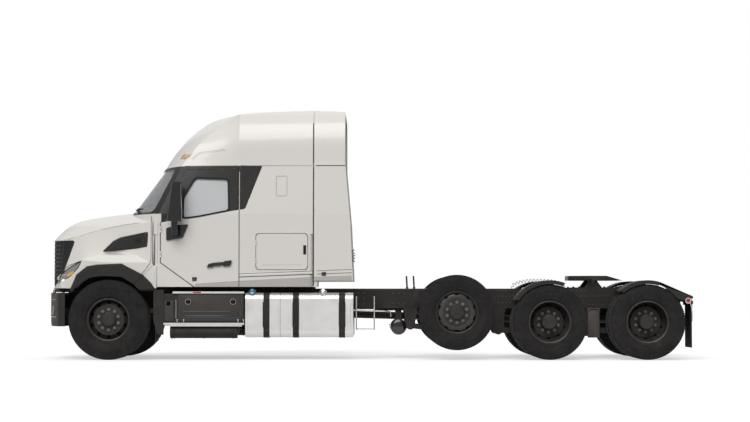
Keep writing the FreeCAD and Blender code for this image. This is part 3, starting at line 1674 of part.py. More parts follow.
def coupler_outline(grow):
    """The coupling plate's plan: rounded ahead, two ramps behind and the throat between."""
    front = coupler_half * 0.62
    return [
        (coupler_x0 - grow, -front, 120.0), (coupler_x0 - grow, front, 120.0),
        (coupler_x0 + front, coupler_half + grow, 160.0), (jaw_x + throat_half, coupler_half + grow, 80.0),
        (coupler_x1 + grow, throat_half * 1.5, 30.0), (coupler_x1 + grow, throat_half, 10.0),
        (jaw_x + jaw_r * 2, jaw_r - grow), (jaw_x + jaw_r * 2, -jaw_r + grow),
        (coupler_x1 + grow, -throat_half, 10.0), (coupler_x1 + grow, -throat_half * 1.5, 30.0),
        (jaw_x + throat_half, -coupler_half - grow, 80.0), (coupler_x0 + front, -coupler_half - grow,
        160.0),
    ]


def coupler():
    """The fifth wheel's tilting plate, with its throat, skirt, lugs and pins."""
    plate = prism("XY", coupler_outline(0), coupler_top - coupler_thick - coupler_skirt, coupler_top)
    hollow = prism("XY", coupler_outline(-coupler_thick), 0, coupler_top - coupler_thick)
    slot = rod((jaw_x, 0, 0), (jaw_x, 0, overrun), jaw_r)
    mouth = box(jaw_x, jaw_x + jaw_r * 3, -jaw_r, jaw_r, 0, overrun)
    ramp = prism(
        "XZ",
        [(jaw_x + throat_half, coupler_top), (coupler_x1 + overrun, coupler_top - overrun * 0.3),
         (coupler_x1 + overrun, coupler_top + overrun)],
        -overrun, overrun,
    )
    pieces = [plate.cut([hollow, ramp])]
    low = coupler_pin_z - coupler_pin_r - base_thick / 2
    jaw_housing = prism(
        "XY",
        [(jaw_x - jaw_r * 4, -jaw_r * 4), (jaw_x + jaw_r * 3, -jaw_r * 4), (jaw_x + jaw_r * 3, jaw_r * 4),
         (jaw_x - jaw_r * 4, jaw_r * 4)],
        coupler_top - coupler_thick - coupler_skirt, coupler_top - coupler_thick,
    )
    pieces.append(jaw_housing)
    for side in (-1, 1):
        y0 = min(side * lug_in, side * lug_out)
        y1 = max(side * lug_in, side * lug_out)
        pieces.append(box(coupler_pin_x - lug_half_x, coupler_pin_x + lug_half_x, y0, y1, low,
                          coupler_top - coupler_thick))
        pieces.append(rod((coupler_pin_x, side * lug_in, coupler_pin_z),
                          (coupler_pin_x, side * stand_out, coupler_pin_z), coupler_pin_r))
    return fused(pieces).cut([slot, mouth])


def coupler_base():
    """The mounting plate on the rails, with the stands that hold the plate's pins."""
    plate = box(base_x0, base_x1, -rail_half, rail_half, rail_top, rail_top + base_thick)
    window = box(base_x0 + stand_half * 2, base_x1 - stand_half * 2, -rail_inner + rail_flange,
        rail_inner - rail_flange,
                 0, overrun)
    pieces = [plate.cut(window)]
    top = coupler_pin_z + coupler_pin_r + stand_gap
    hole = rod((coupler_pin_x, -half_width, coupler_pin_z), (coupler_pin_x, half_width, coupler_pin_z),
               coupler_pin_r + seat_gap)
    for side in (-1, 1):
        stand = prism(
            "XZ",
            [(coupler_pin_x - stand_half * 2, rail_top), (coupler_pin_x + stand_half * 2, rail_top),
             (coupler_pin_x + stand_half * 0.6, top), (coupler_pin_x - stand_half * 0.6, top)],
            side * (lug_out + stand_gap), side * stand_out,
        )
        pieces.append(stand)
    return fused(pieces).cut(hole)


# Mirror: a tall head that leans back, on an arm that stands on a foot on the door
mirror_low = (1938.0, -2786.0, -2572.0)
mirror_high = (2484.0, -2712.0, -2592.0)
mirror_in = 1250.0
mirror_out = 1440.0
mirror_r = 40.0
mirror_edge_r = 26.0
foot_outline = (
    (-2813.0, 1848.0, 16.0), (-2813.0, 1672.0, 16.0), (-2580.0, 1714.0, 24.0),
    (-2500.0, 1902.0, 12.0), (-2670.0, 1888.0, 30.0),
)
foot_thick = 22.0
mirror_arm_r = 36.0
mirror_arm_x = -2684.0
mirror_arm_z = 1790.0
mirror_post_half_x = 45.0
mirror_post_half_y = 30.0
mirror_post_y = 1322.0
mirror_post_r = 22.0
mirror_post_below = 48.0
mirror_post_in_head = 30.0


def mirror():
    """The left mirror: head, arm and the foot that lies on the door's skin."""
    levels = []
    for z, front, rear in (mirror_low, mirror_high):
        plan = [
            (front, -mirror_in, mirror_r), (rear, -mirror_in, mirror_edge_r),
            (rear, -mirror_out, mirror_edge_r), (front, -mirror_out, mirror_r),
        ]
        levels.append(outline_wire("XY", plan, z))
    head = Part.makeLoft(levels, True, True)
    skin = cab_form(-foot_thick, cab_bottom).cut(cab_form(0, 0))
    foot = skin.common(left_prism(foot_outline))
    foot_y = -cab_front_half - foot_thick
    arm = rod((mirror_arm_x, foot_y, mirror_arm_z), (mirror_arm_x, -mirror_post_y, mirror_arm_z),
        mirror_arm_r)
    arm = arm.cut(cab_form(0, 0))
    x0 = mirror_arm_x - mirror_post_half_x
    x1 = mirror_arm_x + mirror_post_half_x
    y0 = -mirror_post_y - mirror_post_half_y
    y1 = -mirror_post_y + mirror_post_half_y
    section = [(x, y, mirror_post_r) for x, y in ((x0, y0), (x1, y0), (x1, y1), (x0, y1))]
    post = prism("XY", section, mirror_arm_z - mirror_post_below, mirror_low[0] + mirror_post_in_head)
    return fused([head, foot, arm, post])


# Inside the cab
floor_z = cab_bottom + cab_wall
seat_y = 560.0
seat_x0 = -2330.0
seat_x1 = -1830.0
seat_half = 260.0
cushion_low = 1480.0
cushion_high = 1600.0
back_thick = 130.0
back_top = 2230.0
pedestal_half = 160.0


def seats():
    """The two seats, each a cushion and backrest on its pedestal."""
    profile = [
        (seat_x0, cushion_low, 30.0), (seat_x1, cushion_low), (seat_x1 + back_thick, back_top, 50.0),
        (seat_x1 + back_thick * 0.2, back_top, 40.0), (seat_x1 - back_thick, cushion_high),
        (seat_x0, cushion_high, 50.0),
    ]
    body = prism("XZ", profile, -seat_y - seat_half, -seat_y + seat_half)
    middle = (seat_x0 + seat_x1) / 2
    pedestal = box(middle - pedestal_half, middle + pedestal_half, -seat_y - pedestal_half,
        -seat_y + pedestal_half,
                   floor_z, cushion_low)
    return both(fused([body, pedestal]))


dash_back_x = -2660.0
dash_low = 1560.0
dash_top = 2010.0
dash_half = 1040.0
wheel_x = -2470.0
wheel_z = 1850.0
wheel_r = 225.0
wheel_grip_r = 15.0
column_tilt = 35.0
column_r = 38.0
column_length = 330.0
spoke_count = 3


def dashboard():
    """The dashboard across the cab, with the steering column and wheel on the left."""
    inner_front = cab_front_x + cab_wall
    profile = [
        (inner_front, dash_low), (dash_back_x + 60.0, dash_low, 40.0),
        (dash_back_x, dash_low + 120.0, 40.0),
        (dash_back_x - 60.0, dash_top, 60.0), (inner_front, dash_top),
    ]
    board = prism("XZ", profile, -dash_half, dash_half).common(cab_form(cab_wall, dash_low))
    turn = math.radians(column_tilt)
    along = Vector(math.cos(turn), 0, math.sin(turn))
    centre = Vector(wheel_x, -seat_y, wheel_z)
    root = centre - along * column_length
    column = Part.makeCylinder(column_r, column_length, root, along)
    rim = Part.makeTorus(wheel_r, wheel_grip_r, centre, along)
    pieces = [board, column, rim, Part.makeCylinder(column_r * 1.5, column_r / 2,
        centre - along * (column_r / 4), along)]
    for i in range(spoke_count):
        spoke = Part.makeCylinder(wheel_grip_r * 0.8, wheel_r, centre, Vector(0, 1, 0))
        spoke.rotate(centre, along, 360.0 / spoke_count * i)
        pieces.append(spoke)
    return fused(pieces)


bunk_x0 = -1600.0
bunk_low = 1790.0
bunk_board = 24.0
mattress = 130.0


def bunk():
    """The sleeper's bunk board with its mattress, from wall to wall."""
    rear = cab_rear_x - cab_wall
    half = top_rear_half - cab_wall
    board = box(bunk_x0, rear, -cab_mid_half + cab_wall, cab_mid_half - cab_wall, bunk_low,
        bunk_low + bunk_board)
    pad = box(bunk_x0 + bunk_board, rear - bunk_board, -half + bunk_board, half - bunk_board,
              bunk_low + bunk_board, bunk_low + bunk_board + mattress)
    inside = cab_form(cab_wall, floor_z)
    return fused([board, pad]).common(inside)


# Coiled lines, each drawn as the fat tube that its coils fill
coil_r = 30.0
coil_y = 260.0
coil_bend = 110.0
coil_high = 1590.0
coil_low = 1360.0
coil_back_x = -195.0
hose_r = 26.0
hose_y = 388.0
hose_top = 1120.0
hose_x0 = 2090.0


def bent_tube(points, radius, bend):
    """A tube along points in an XZ plane, given as (x, z), with rounded bends."""
    outline = [(p[0], p[1]) for p in points]
    edges = []
    last = Vector(outline[0][0], 0, outline[0][1])
    for i in range(1, len(outline) - 1):
        here = Vector(outline[i][0], 0, outline[i][1])
        before = (Vector(outline[i - 1][0], 0, outline[i - 1][1]) - here).normalize()
        after = (Vector(outline[i + 1][0], 0, outline[i + 1][1]) - here).normalize()
        half = before.getAngle(after) / 2
        cut = bend / math.tan(half)
        middle = Vector(before + after).normalize() * (bend / math.sin(half) - bend)
        start = here + Vector(before) * cut
        end = here + Vector(after) * cut
        edges.append(Part.makeLine(last, start))
        edges.append(Part.Arc(start, here + middle, end).toShape())
        last = end
    edges.append(Part.makeLine(last, Vector(outline[-1][0], 0, outline[-1][1])))
    path = Part.Wire(edges)
    first = edges[0].Vertexes[0].Point
    along = edges[0].tangentAt(edges[0].FirstParameter)
    ring = Part.Wire([Part.makeCircle(radius, first, along)])
    return path.makePipeShell([ring], True, True)


def cab_coil():
    """The coiled line that loops back from the cab's rear wall, as one tube."""
    line = bent_tube(
        [(cab_rear_x, coil_high - coil_r), (coil_back_x, coil_high - coil_r),
        (coil_back_x, coil_low + coil_r),
         (cab_rear_x, coil_low + coil_r)],
        coil_r, coil_bend - coil_r,
    )
    line.translate(Vector(0, -coil_y, 0))
    return line


def frame_hose():
    """The coiled hose that arches over the frame to the fifth wheel's base, as one tube."""
    low = rail_top
    end_x = base_x0 - hose_r * 3
    line = bent_tube(
        [(hose_x0, low), (hose_x0, hose_top), (end_x, hose_top), (end_x, low)],
        hose_r, coil_bend,
    )
    line.translate(Vector(0, -hose_y, 0))
    return line


def wheel_parts(name, x, y, z, rim, sizes):
    """Both sides' rim and tyre of a single wheel, as named nodes."""
    radius, width, rim_width = sizes
    left_rim = rim(x, -y, z)
    left_tyre = tyre(x, -y, z, radius, width, rim_width)
    return {
        "left_" + name + "_rim": left_rim,
        "left_" + name + "_tyre": left_tyre,
        "right_" + name + "_rim": mirrored(left_rim),
        "right_" + name + "_tyre": mirrored(left_tyre),
    }


def dual_parts(name, x):
    """Both sides' rims and twin tyres of a drive axle, as named nodes."""
    z = dual_tyre_r
    rims = dual_rims(x, -dual_outer_y, z)
    outer = tyre(x, -dual_outer_y, z, dual_tyre_r, dual_tyre_width, dual_rim_width)
    inner = tyre(x, -dual_outer_y + dual_pitch, z, dual_tyre_r, dual_tyre_width, dual_rim_width)
    tyres = Part.makeCompound([outer, inner])
    return {
        "left_" + name + "_rims": rims,
        "left_" + name + "_tyres": tyres,
        "right_" + name + "_rims": mirrored(rims),
        "right_" + name + "_tyres": mirrored(tyres),
    }


left_door = door()
left_glass = door_glass()
left_hatch = hatch_door()
left_mirror = mirror()
left_knuckle = knuckle()

nodes = {
    "frame": fused([frame()] + cab_mounts().Solids + rear_bar().Solids),
    "front_bumper": fused([front_bumper()] + hood_ears()),
    "engine": Part.makeCompound([engine(), radiator()]),
    "driveshafts": driveshafts(),
    "front_axle": Part.makeCompound([front_axle()] + front_springs().Solids),
    "drive_axles": drive_axles(),
    "rear_suspension": Part.makeCompound(rear_suspension().Solids + lift_suspension().Solids),
    "lift_axle": lift_axle(),
    "left_knuckle": left_knuckle,
    "right_knuckle": mirrored(left_knuckle),
    "tie_rod": tie_rod(),
    "cab_shell": fused([cab_shell()] + cab_fenders().Solids),
    "windscreen": windscreen(),
    "roof_fairing": split_roof()[0],
    "rear_fairings": side_fairings(),
    "cab_flares": cab_flares(),
    "seats_and_bunk": Part.makeCompound(seats().Solids + [bunk()]),
    "dashboard": dashboard(),
    "left_door": left_door,
    "left_door_glass": left_glass,
    "left_mirror": left_mirror,
    "right_door": mirrored(left_door),
    "right_door_glass": mirrored(left_glass),
    "right_mirror": mirrored(left_mirror),
    "left_luggage_door": left_hatch,
    "right_luggage_door": mirrored(left_hatch),
    "hood_shell": hood_shell(),
    "hood_grilles": Part.makeCompound([grille()] + hood_vents().Solids),
    "headlights": headlights(),
    "hood_flares": hood_flares(),
    "fuel_tanks": Part.makeCompound(fuel_tanks().Solids + tank_caps().Solids),
    "tank_straps": tank_straps(),
    "side_boxes": Part.makeCompound(side_boxes().Solids + exhaust_cans().Solids),
    "steps": Part.makeCompound(side_steps().Solids + [access_step()]),
    "splash_guards": splash_guards(),
    "air_tanks": air_tanks(),
    "mudguards": mudguards(),
    "mudflaps": mudflaps(),
    "coupler_base": coupler_base(),
    "coupler_plate": coupler(),
    "cab_coil": cab_coil(),
    "frame_hose": frame_hose(),
}
nodes.update(
    wheel_parts("front", front_axle_x, front_wheel_y, front_tyre_r, front_rim,
                (front_tyre_r, front_tyre_width, front_rim_width))
)
nodes.update(
    wheel_parts("lift", lift_axle_x, lift_wheel_y, lift_tyre_r + lift_height, lift_rim,
                (lift_tyre_r, lift_tyre_width, lift_rim_width))
)
nodes.update(dual_parts("first_drive", drive_axle_x))
nodes.update(dual_parts("second_drive", drive_axle_x + drive_spacing))

os.makedirs("parts", exist_ok=True)
for name, shape in nodes.items():
    shape.exportStep("parts/" + name + ".step")
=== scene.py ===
"""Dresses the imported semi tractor: a finish for every CAD node, and the pieces that are too fine for CAD.

The tractor faces -X with its driver's side towards -Y. Every length is in metres.
"""
import logging
import math
from dataclasses import dataclass
from enum import Enum
from typing import Callable, Iterable, Sequence

import bmesh
import bpy
from mathutils import Matrix, Vector
from mathutils.bvhtree import BVHTree


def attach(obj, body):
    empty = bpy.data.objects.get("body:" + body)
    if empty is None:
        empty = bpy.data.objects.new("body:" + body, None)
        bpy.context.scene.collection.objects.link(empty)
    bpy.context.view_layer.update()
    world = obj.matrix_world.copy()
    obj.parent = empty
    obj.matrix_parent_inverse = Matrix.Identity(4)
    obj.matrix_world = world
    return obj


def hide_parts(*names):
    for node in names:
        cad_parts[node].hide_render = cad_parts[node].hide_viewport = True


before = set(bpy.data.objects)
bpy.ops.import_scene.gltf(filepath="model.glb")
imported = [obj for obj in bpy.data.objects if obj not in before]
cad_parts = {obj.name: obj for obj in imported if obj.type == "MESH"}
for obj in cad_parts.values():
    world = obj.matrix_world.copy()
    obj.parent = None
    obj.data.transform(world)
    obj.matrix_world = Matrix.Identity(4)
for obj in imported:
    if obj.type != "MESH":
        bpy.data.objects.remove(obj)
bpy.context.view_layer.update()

log = logging.getLogger("tractor")
logging.basicConfig(level=logging.INFO, format="%(message)s")

Point = tuple[float, float, float]
Profile = Sequence[tuple[float, float]]
Feel = Callable[..., Vector]
Tree = bpy.types.NodeTree
Socket = bpy.types.NodeSocket
Vert = bmesh.types.BMVert
Edge = bmesh.types.BMEdge
Face = bmesh.types.BMFace

SIDES: dict[str, int] = {"left": -1, "right": 1}
EDGE_ANGLE = math.radians(34)
NUT_COUNT = 10
FRONT_AXLE_X = -3.618
LIFT_AXLE_X = 1.268
FIRST_DRIVE_X = 2.571
SECOND_DRIVE_X = 3.941
FRONT_TYRE_R = 0.562
LIFT_TYRE_R = 0.529
DRIVE_TYRE_R = 0.530
LIFT_CENTRE_Z = LIFT_TYRE_R + 0.135
DOOR_REAR_X = -1.792
WALL_LEAN_FROM = 2.050
WALL_LEAN_HEIGHT = 0.681
MERGE = 0.00002
CLOTH_STEPS = 20


class Grain(Enum):
    """The fine surface that a finish carries."""

    SPECKLE = "speckle"
    CELLS = "cells"
    BRUSHED = "brushed"
    WEAVE = "weave"
    CAST = "cast"


class Tread(Enum):
    """How the running surface of a tyre is cut."""

    RIB = "rib"
    BLOCK = "block"


def add_node(tree: Tree, kind: str, links: dict[str | int, object],
             **options: object) -> bpy.types.bpy_prop_collection:
    """Add a shader node, and set or link its inputs.

    Args:
        tree: The node tree.
        kind: The node's type, without its prefix.
        links: A plain value or an output socket for each input.
        options: The node's own settings.

    Returns:
        The node's outputs.
    """
    made = tree.nodes.new(f"ShaderNode{kind}")
    for name, value in options.items():
        setattr(made, name, value)
    for name, value in links.items():
        if isinstance(value, Socket):
            tree.links.new(value, made.inputs[name])
        else:
            made.inputs[name].default_value = value
    return made.outputs


@dataclass(frozen=True)
class Finish:
    """A surface finish, made into one node material.

    The colour drifts a little over the surface, dust gathers low down, and the grain is a bump.
    """

    name: str
    colour: tuple[float, float, float]
    roughness: float = 0.5
    metallic: float = 0.0
    coat: float = 0.0
    drift: float = 0.06
    drift_scale: float = 2.2
    grain: Grain = Grain.SPECKLE
    grain_scale: float = 350.0
    grain_depth: float = 0.0004
    grain_share: float = 0.35
    sheen: float = 0.0
    dust: float = 0.0
    dust_top: float = 1.1
    dust_colour: tuple[float, float, float] = (0.33, 0.29, 0.25)
    transmission: float = 0.0
    alpha: float = 1.0
    glow: float = 0.0
    stretch: tuple[float, float, float] = (1.0, 1.0, 1.0)
    smear: float = 0.18
    specular: float = 0.5

    def material(self) -> bpy.types.Material:
        """Give the material of this finish, made on first use.

        Returns:
            The node material.
        """
        found = bpy.data.materials.get(self.name)
        if found is not None:
            return found
        made = bpy.data.materials.new(self.name)
        made.use_nodes = True
        tree = made.node_tree
        shader = tree.nodes["Principled BSDF"]
        plain = {"Metallic": self.metallic, "Specular IOR Level": self.specular, "Coat Weight": self.coat,
                 "Coat Roughness": 0.08, "Sheen Weight": self.sheen, "Alpha": self.alpha,
                 "Transmission Weight": self.transmission}
        if self.glow:
            plain |= {"Emission Color": (*self.colour, 1.0), "Emission Strength": self.glow}
        for name, value in plain.items():
            shader.inputs[name].default_value = value
        place = add_node(tree, "TexCoord", {})["Object"]
        for name, value in (("Base Color", self._colour(tree, place)),
                            ("Roughness", self._rough(tree, place)),
                            ("Normal", self._bump(tree, place))):
            tree.links.new(value, shader.inputs[name])
        made.diffuse_color = (*self.colour, 1.0)
        return made

    def _noise(self, tree: Tree, place: Socket, scale: float, detail: float = 3.0) -> Socket:
        """Add a noise pattern on the object's own coordinates."""
        return add_node(tree, "TexNoise", {"Scale": scale, "Detail": detail, "Vector": place})["Fac"]

    def _ranged(self, tree: Tree, value: Socket, source: tuple[float, float],
                target: tuple[float, float]) -> Socket:
        """Map a value from one range to another."""
        return add_node(tree, "MapRange", {
            "From Min": source[0], "From Max": source[1], "To Min": target[0], "To Max": target[1],
            "Value": value})["Result"]

    def _product(self, tree: Tree, first: Socket, second: Socket) -> Socket:
        """Multiply two values."""
        return add_node(tree, "Math", {0: first, 1: second}, operation="MULTIPLY")[0]

    def _mixed(self, tree: Tree, share: Socket, first: object, second: object) -> Socket:
        """Blend two colours, each a plain colour or a socket."""
        return add_node(tree, "Mix", {0: share, 6: first, 7: second}, data_type="RGBA")[2]

    def _colour(self, tree: Tree, place: Socket) -> Socket:
        """Add the drifting and dusted colour."""
        lighter = (*(min(1.0, c * (1 + self.drift)) for c in self.colour), 1.0)
        darker = (*(c * (1 - self.drift) for c in self.colour), 1.0)
        broad = self._noise(tree, place, self.drift_scale, 4.0)
        colour = self._mixed(tree, self._ranged(tree, broad, (0.35, 0.65), (0.0, 1.0)), darker, lighter)
        if self.dust:
            height = add_node(tree, "SeparateXYZ", {0: place})["Z"]
            low = self._ranged(tree, height, (self.dust_top, 0.0), (0.0, self.dust))
            patch = self._ranged(tree, self._noise(tree, place, 6.0, 6.0), (0.35, 0.7), (0.0, 1.0))
            colour = self._mixed(tree, self._product(tree, low, patch), colour, (*self.dust_colour, 1.0))
        return colour

    def _rough(self, tree: Tree, place: Socket) -> Socket:
        """Add a roughness that varies like a handled and weathered surface."""
        smear = self._noise(tree, place, self.drift_scale * 4, 5.0)
        spread = self.roughness * self.smear
        return self._ranged(tree, smear, (0.3, 0.7), (self.roughness - spread, self.roughness + spread))

    def _bump(self, tree: Tree, place: Socket) -> Socket:
        """Add the grain as a bump."""
        at = add_node(tree, "Mapping", {"Scale": self.stretch, "Vector": place})["Vector"]
        if self.grain is Grain.CELLS:
            height = add_node(tree, "TexVoronoi", {"Scale": self.grain_scale, "Vector": at})["Distance"]
        elif self.grain is Grain.WEAVE:
            height = self._product(tree, *(
                add_node(tree, "TexWave", {"Scale": self.grain_scale, "Distortion": 0.6, "Vector": at},
                         bands_direction=direction)["Fac"] for direction in ("X", "Z")))
        else:
            height = self._noise(tree, at, self.grain_scale, 8.0 if self.grain is Grain.CAST else 3.0)
        return add_node(tree, "Bump", {"Distance": self.grain_depth, "Strength": self.grain_share,
                                       "Height": height})["Normal"]


CAB_PAINT = Finish("cab_paint_white", (0.80, 0.772, 0.728), 0.34, coat=0.5, drift=0.006, drift_scale=0.7,
    grain_scale=1400, grain_depth=0.00004, grain_share=0.05, dust=0.03, dust_top=1.3, smear=0.03)
FRAME_PAINT = Finish("frame_paint_satin", (0.026, 0.022, 0.0205), 0.5, drift=0.14, grain_scale=260,
    dust=0.10, specular=0.22)
CAST_IRON = Finish("cast_iron_painted", (0.024, 0.021, 0.020), 0.62, drift=0.2, grain=Grain.CAST,
    grain_scale=140, grain_depth=0.001, dust=0.14, specular=0.22)
WHEEL_PAINT = Finish("wheel_paint_dark", (0.034, 0.0305, 0.0285), 0.38, drift=0.1, grain_scale=420,
    dust=0.08, specular=0.22)
ENGINE_PAINT = Finish("engine_paint_grey", (0.12, 0.12, 0.125), 0.5, drift=0.15, grain=Grain.CAST,
    grain_scale=120, grain_depth=0.0012, dust=0.12)
RUBBER = Finish("tyre_rubber", (0.0135, 0.0125, 0.0125), 0.78, drift=0.16, drift_scale=5, grain=Grain.CAST,
    grain_scale=230, grain_depth=0.0008, sheen=0.08, dust=0.05, specular=0.22)
FLAP_RUBBER = Finish("flap_rubber", (0.02, 0.02, 0.02), 0.7, drift=0.15, grain=Grain.CELLS, grain_scale=260,
    dust=0.1, specular=0.22)
TRIM_PLASTIC = Finish("moulded_trim", (0.030, 0.0265, 0.0245), 0.58, drift=0.1, grain=Grain.CELLS,
    grain_scale=620, grain_depth=0.0006, dust=0.06, specular=0.22)
GLOSS_TRIM = Finish("gloss_black_trim", (0.012, 0.0115, 0.0115), 0.16, coat=0.5, drift=0.05,
    grain_scale=700, grain_share=0.05)
GRILLE_PLASTIC = Finish("grille_gloss", (0.014, 0.0135, 0.014), 0.26, coat=0.4, drift=0.08, grain_scale=600,
    grain_share=0.1, specular=0.22)
GLASS = Finish("tinted_glass", (0.50, 0.51, 0.52), 0.03, drift=0.02, grain_share=0.0, transmission=0.78)
DOOR_GLASS = Finish("pale_door_glass", (0.80, 0.81, 0.82), 0.04, drift=0.01, grain_share=0.0,
    transmission=0.3)
LENS = Finish("lamp_lens", (0.62, 0.62, 0.60), 0.06, drift=0.03, grain_share=0.05, transmission=0.6)
AMBER = Finish("amber_lens", (0.90, 0.50, 0.12), 0.2, drift=0.05, grain=Grain.CELLS, grain_scale=380,
    transmission=0.25, glow=0.08)
# The faint glow is painted light on the step reflector, which is no lamp.
RED_LENS = Finish("red_lens", (0.45, 0.02, 0.022), 0.22, drift=0.06, grain=Grain.CELLS, grain_scale=420,
    glow=0.03)
CHROME = Finish("bright_plate", (0.78, 0.78, 0.77), 0.12, metallic=1.0, drift=0.03, grain_scale=300,
    grain_share=0.05)
STEEL = Finish("zinc_steel", (0.52, 0.51, 0.5), 0.34, metallic=1.0, drift=0.1, grain_scale=320)
TANK_ALUMINIUM = Finish("brushed_aluminium", (0.74, 0.725, 0.71), 0.36, metallic=0.75, drift=0.03,
    grain=Grain.BRUSHED, grain_scale=120, grain_depth=0.0003, stretch=(0.05, 4.0, 4.0))
TREAD_METAL = Finish("tread_metal", (0.72, 0.71, 0.69), 0.3, metallic=0.85, drift=0.05, grain=Grain.CELLS,
    grain_scale=90, grain_depth=0.0012)
SEAT_CLOTH = Finish("seat_cloth", (0.052, 0.053, 0.058), 0.85, drift=0.1, grain=Grain.WEAVE,
    grain_scale=260, grain_depth=0.0012, sheen=0.3)
BUNK_CLOTH = Finish("bunk_cloth", (0.20, 0.20, 0.21), 0.9, drift=0.08, grain=Grain.WEAVE, grain_scale=180,
    grain_depth=0.0012, sheen=0.3)
DASH_PLASTIC = Finish("dash_grained", (0.06, 0.058, 0.056), 0.6, grain=Grain.CELLS, grain_scale=520,
    specular=0.22)
GREEN_LINE = Finish("green_air_line", (0.016, 0.13, 0.075), 0.35, drift=0.08, grain_scale=300)
GREY_LINE = Finish("grey_air_line", (0.42, 0.41, 0.39), 0.4, drift=0.08, grain_scale=300)
BLUE_CAP = Finish("blue_cap", (0.05, 0.27, 0.45), 0.38, grain=Grain.CELLS, grain_scale=400)
GREASE = Finish("greased_steel", (0.05, 0.045, 0.04), 0.28, metallic=0.6, drift=0.3, grain=Grain.CAST,
    grain_scale=90, grain_depth=0.001)

NODE_FINISHES: dict[str, Finish] = {node: finish for finish, nodes in (
    (FRAME_PAINT, "frame driveshafts rear_suspension tank_straps air_tanks coupler_base"),
    (TRIM_PLASTIC, "front_bumper cab_flares hood_flares side_boxes splash_guards mudguards"),
    (ENGINE_PAINT, "engine"),
    (CAST_IRON, "front_axle drive_axles lift_axle left_knuckle right_knuckle tie_rod"),
    (CAB_PAINT, "cab_shell roof_fairing rear_fairings left_door right_door left_luggage_door "
                "right_luggage_door hood_shell"),
    (GLASS, "windscreen"),
    (SEAT_CLOTH, "seats_and_bunk"),
    (DASH_PLASTIC, "dashboard"),
    (DOOR_GLASS, "left_door_glass right_door_glass"),
    (GLOSS_TRIM, "left_mirror right_mirror"),
    (GRILLE_PLASTIC, "hood_grilles"),
    (LENS, "headlights"),
    (TANK_ALUMINIUM, "fuel_tanks"),
    (TREAD_METAL, "steps"),
    (FLAP_RUBBER, "mudflaps"),
    (GREASE, "coupler_plate"),
    (GREEN_LINE, "cab_coil"),
    (GREY_LINE, "frame_hose"),
) for node in nodes.split()}


def linked(name: str, data: bpy.types.ID) -> bpy.types.Object:
    """Make an object of some data and link it to the scene."""
    made = bpy.data.objects.new(name, data)
    bpy.context.scene.collection.objects.link(made)
    return made


def added(geometry: Iterable[object], kind: type) -> list[object]:
    """Give the vertices, edges or faces among what an operator gave back."""
    return [g for g in geometry if isinstance(g, kind)]


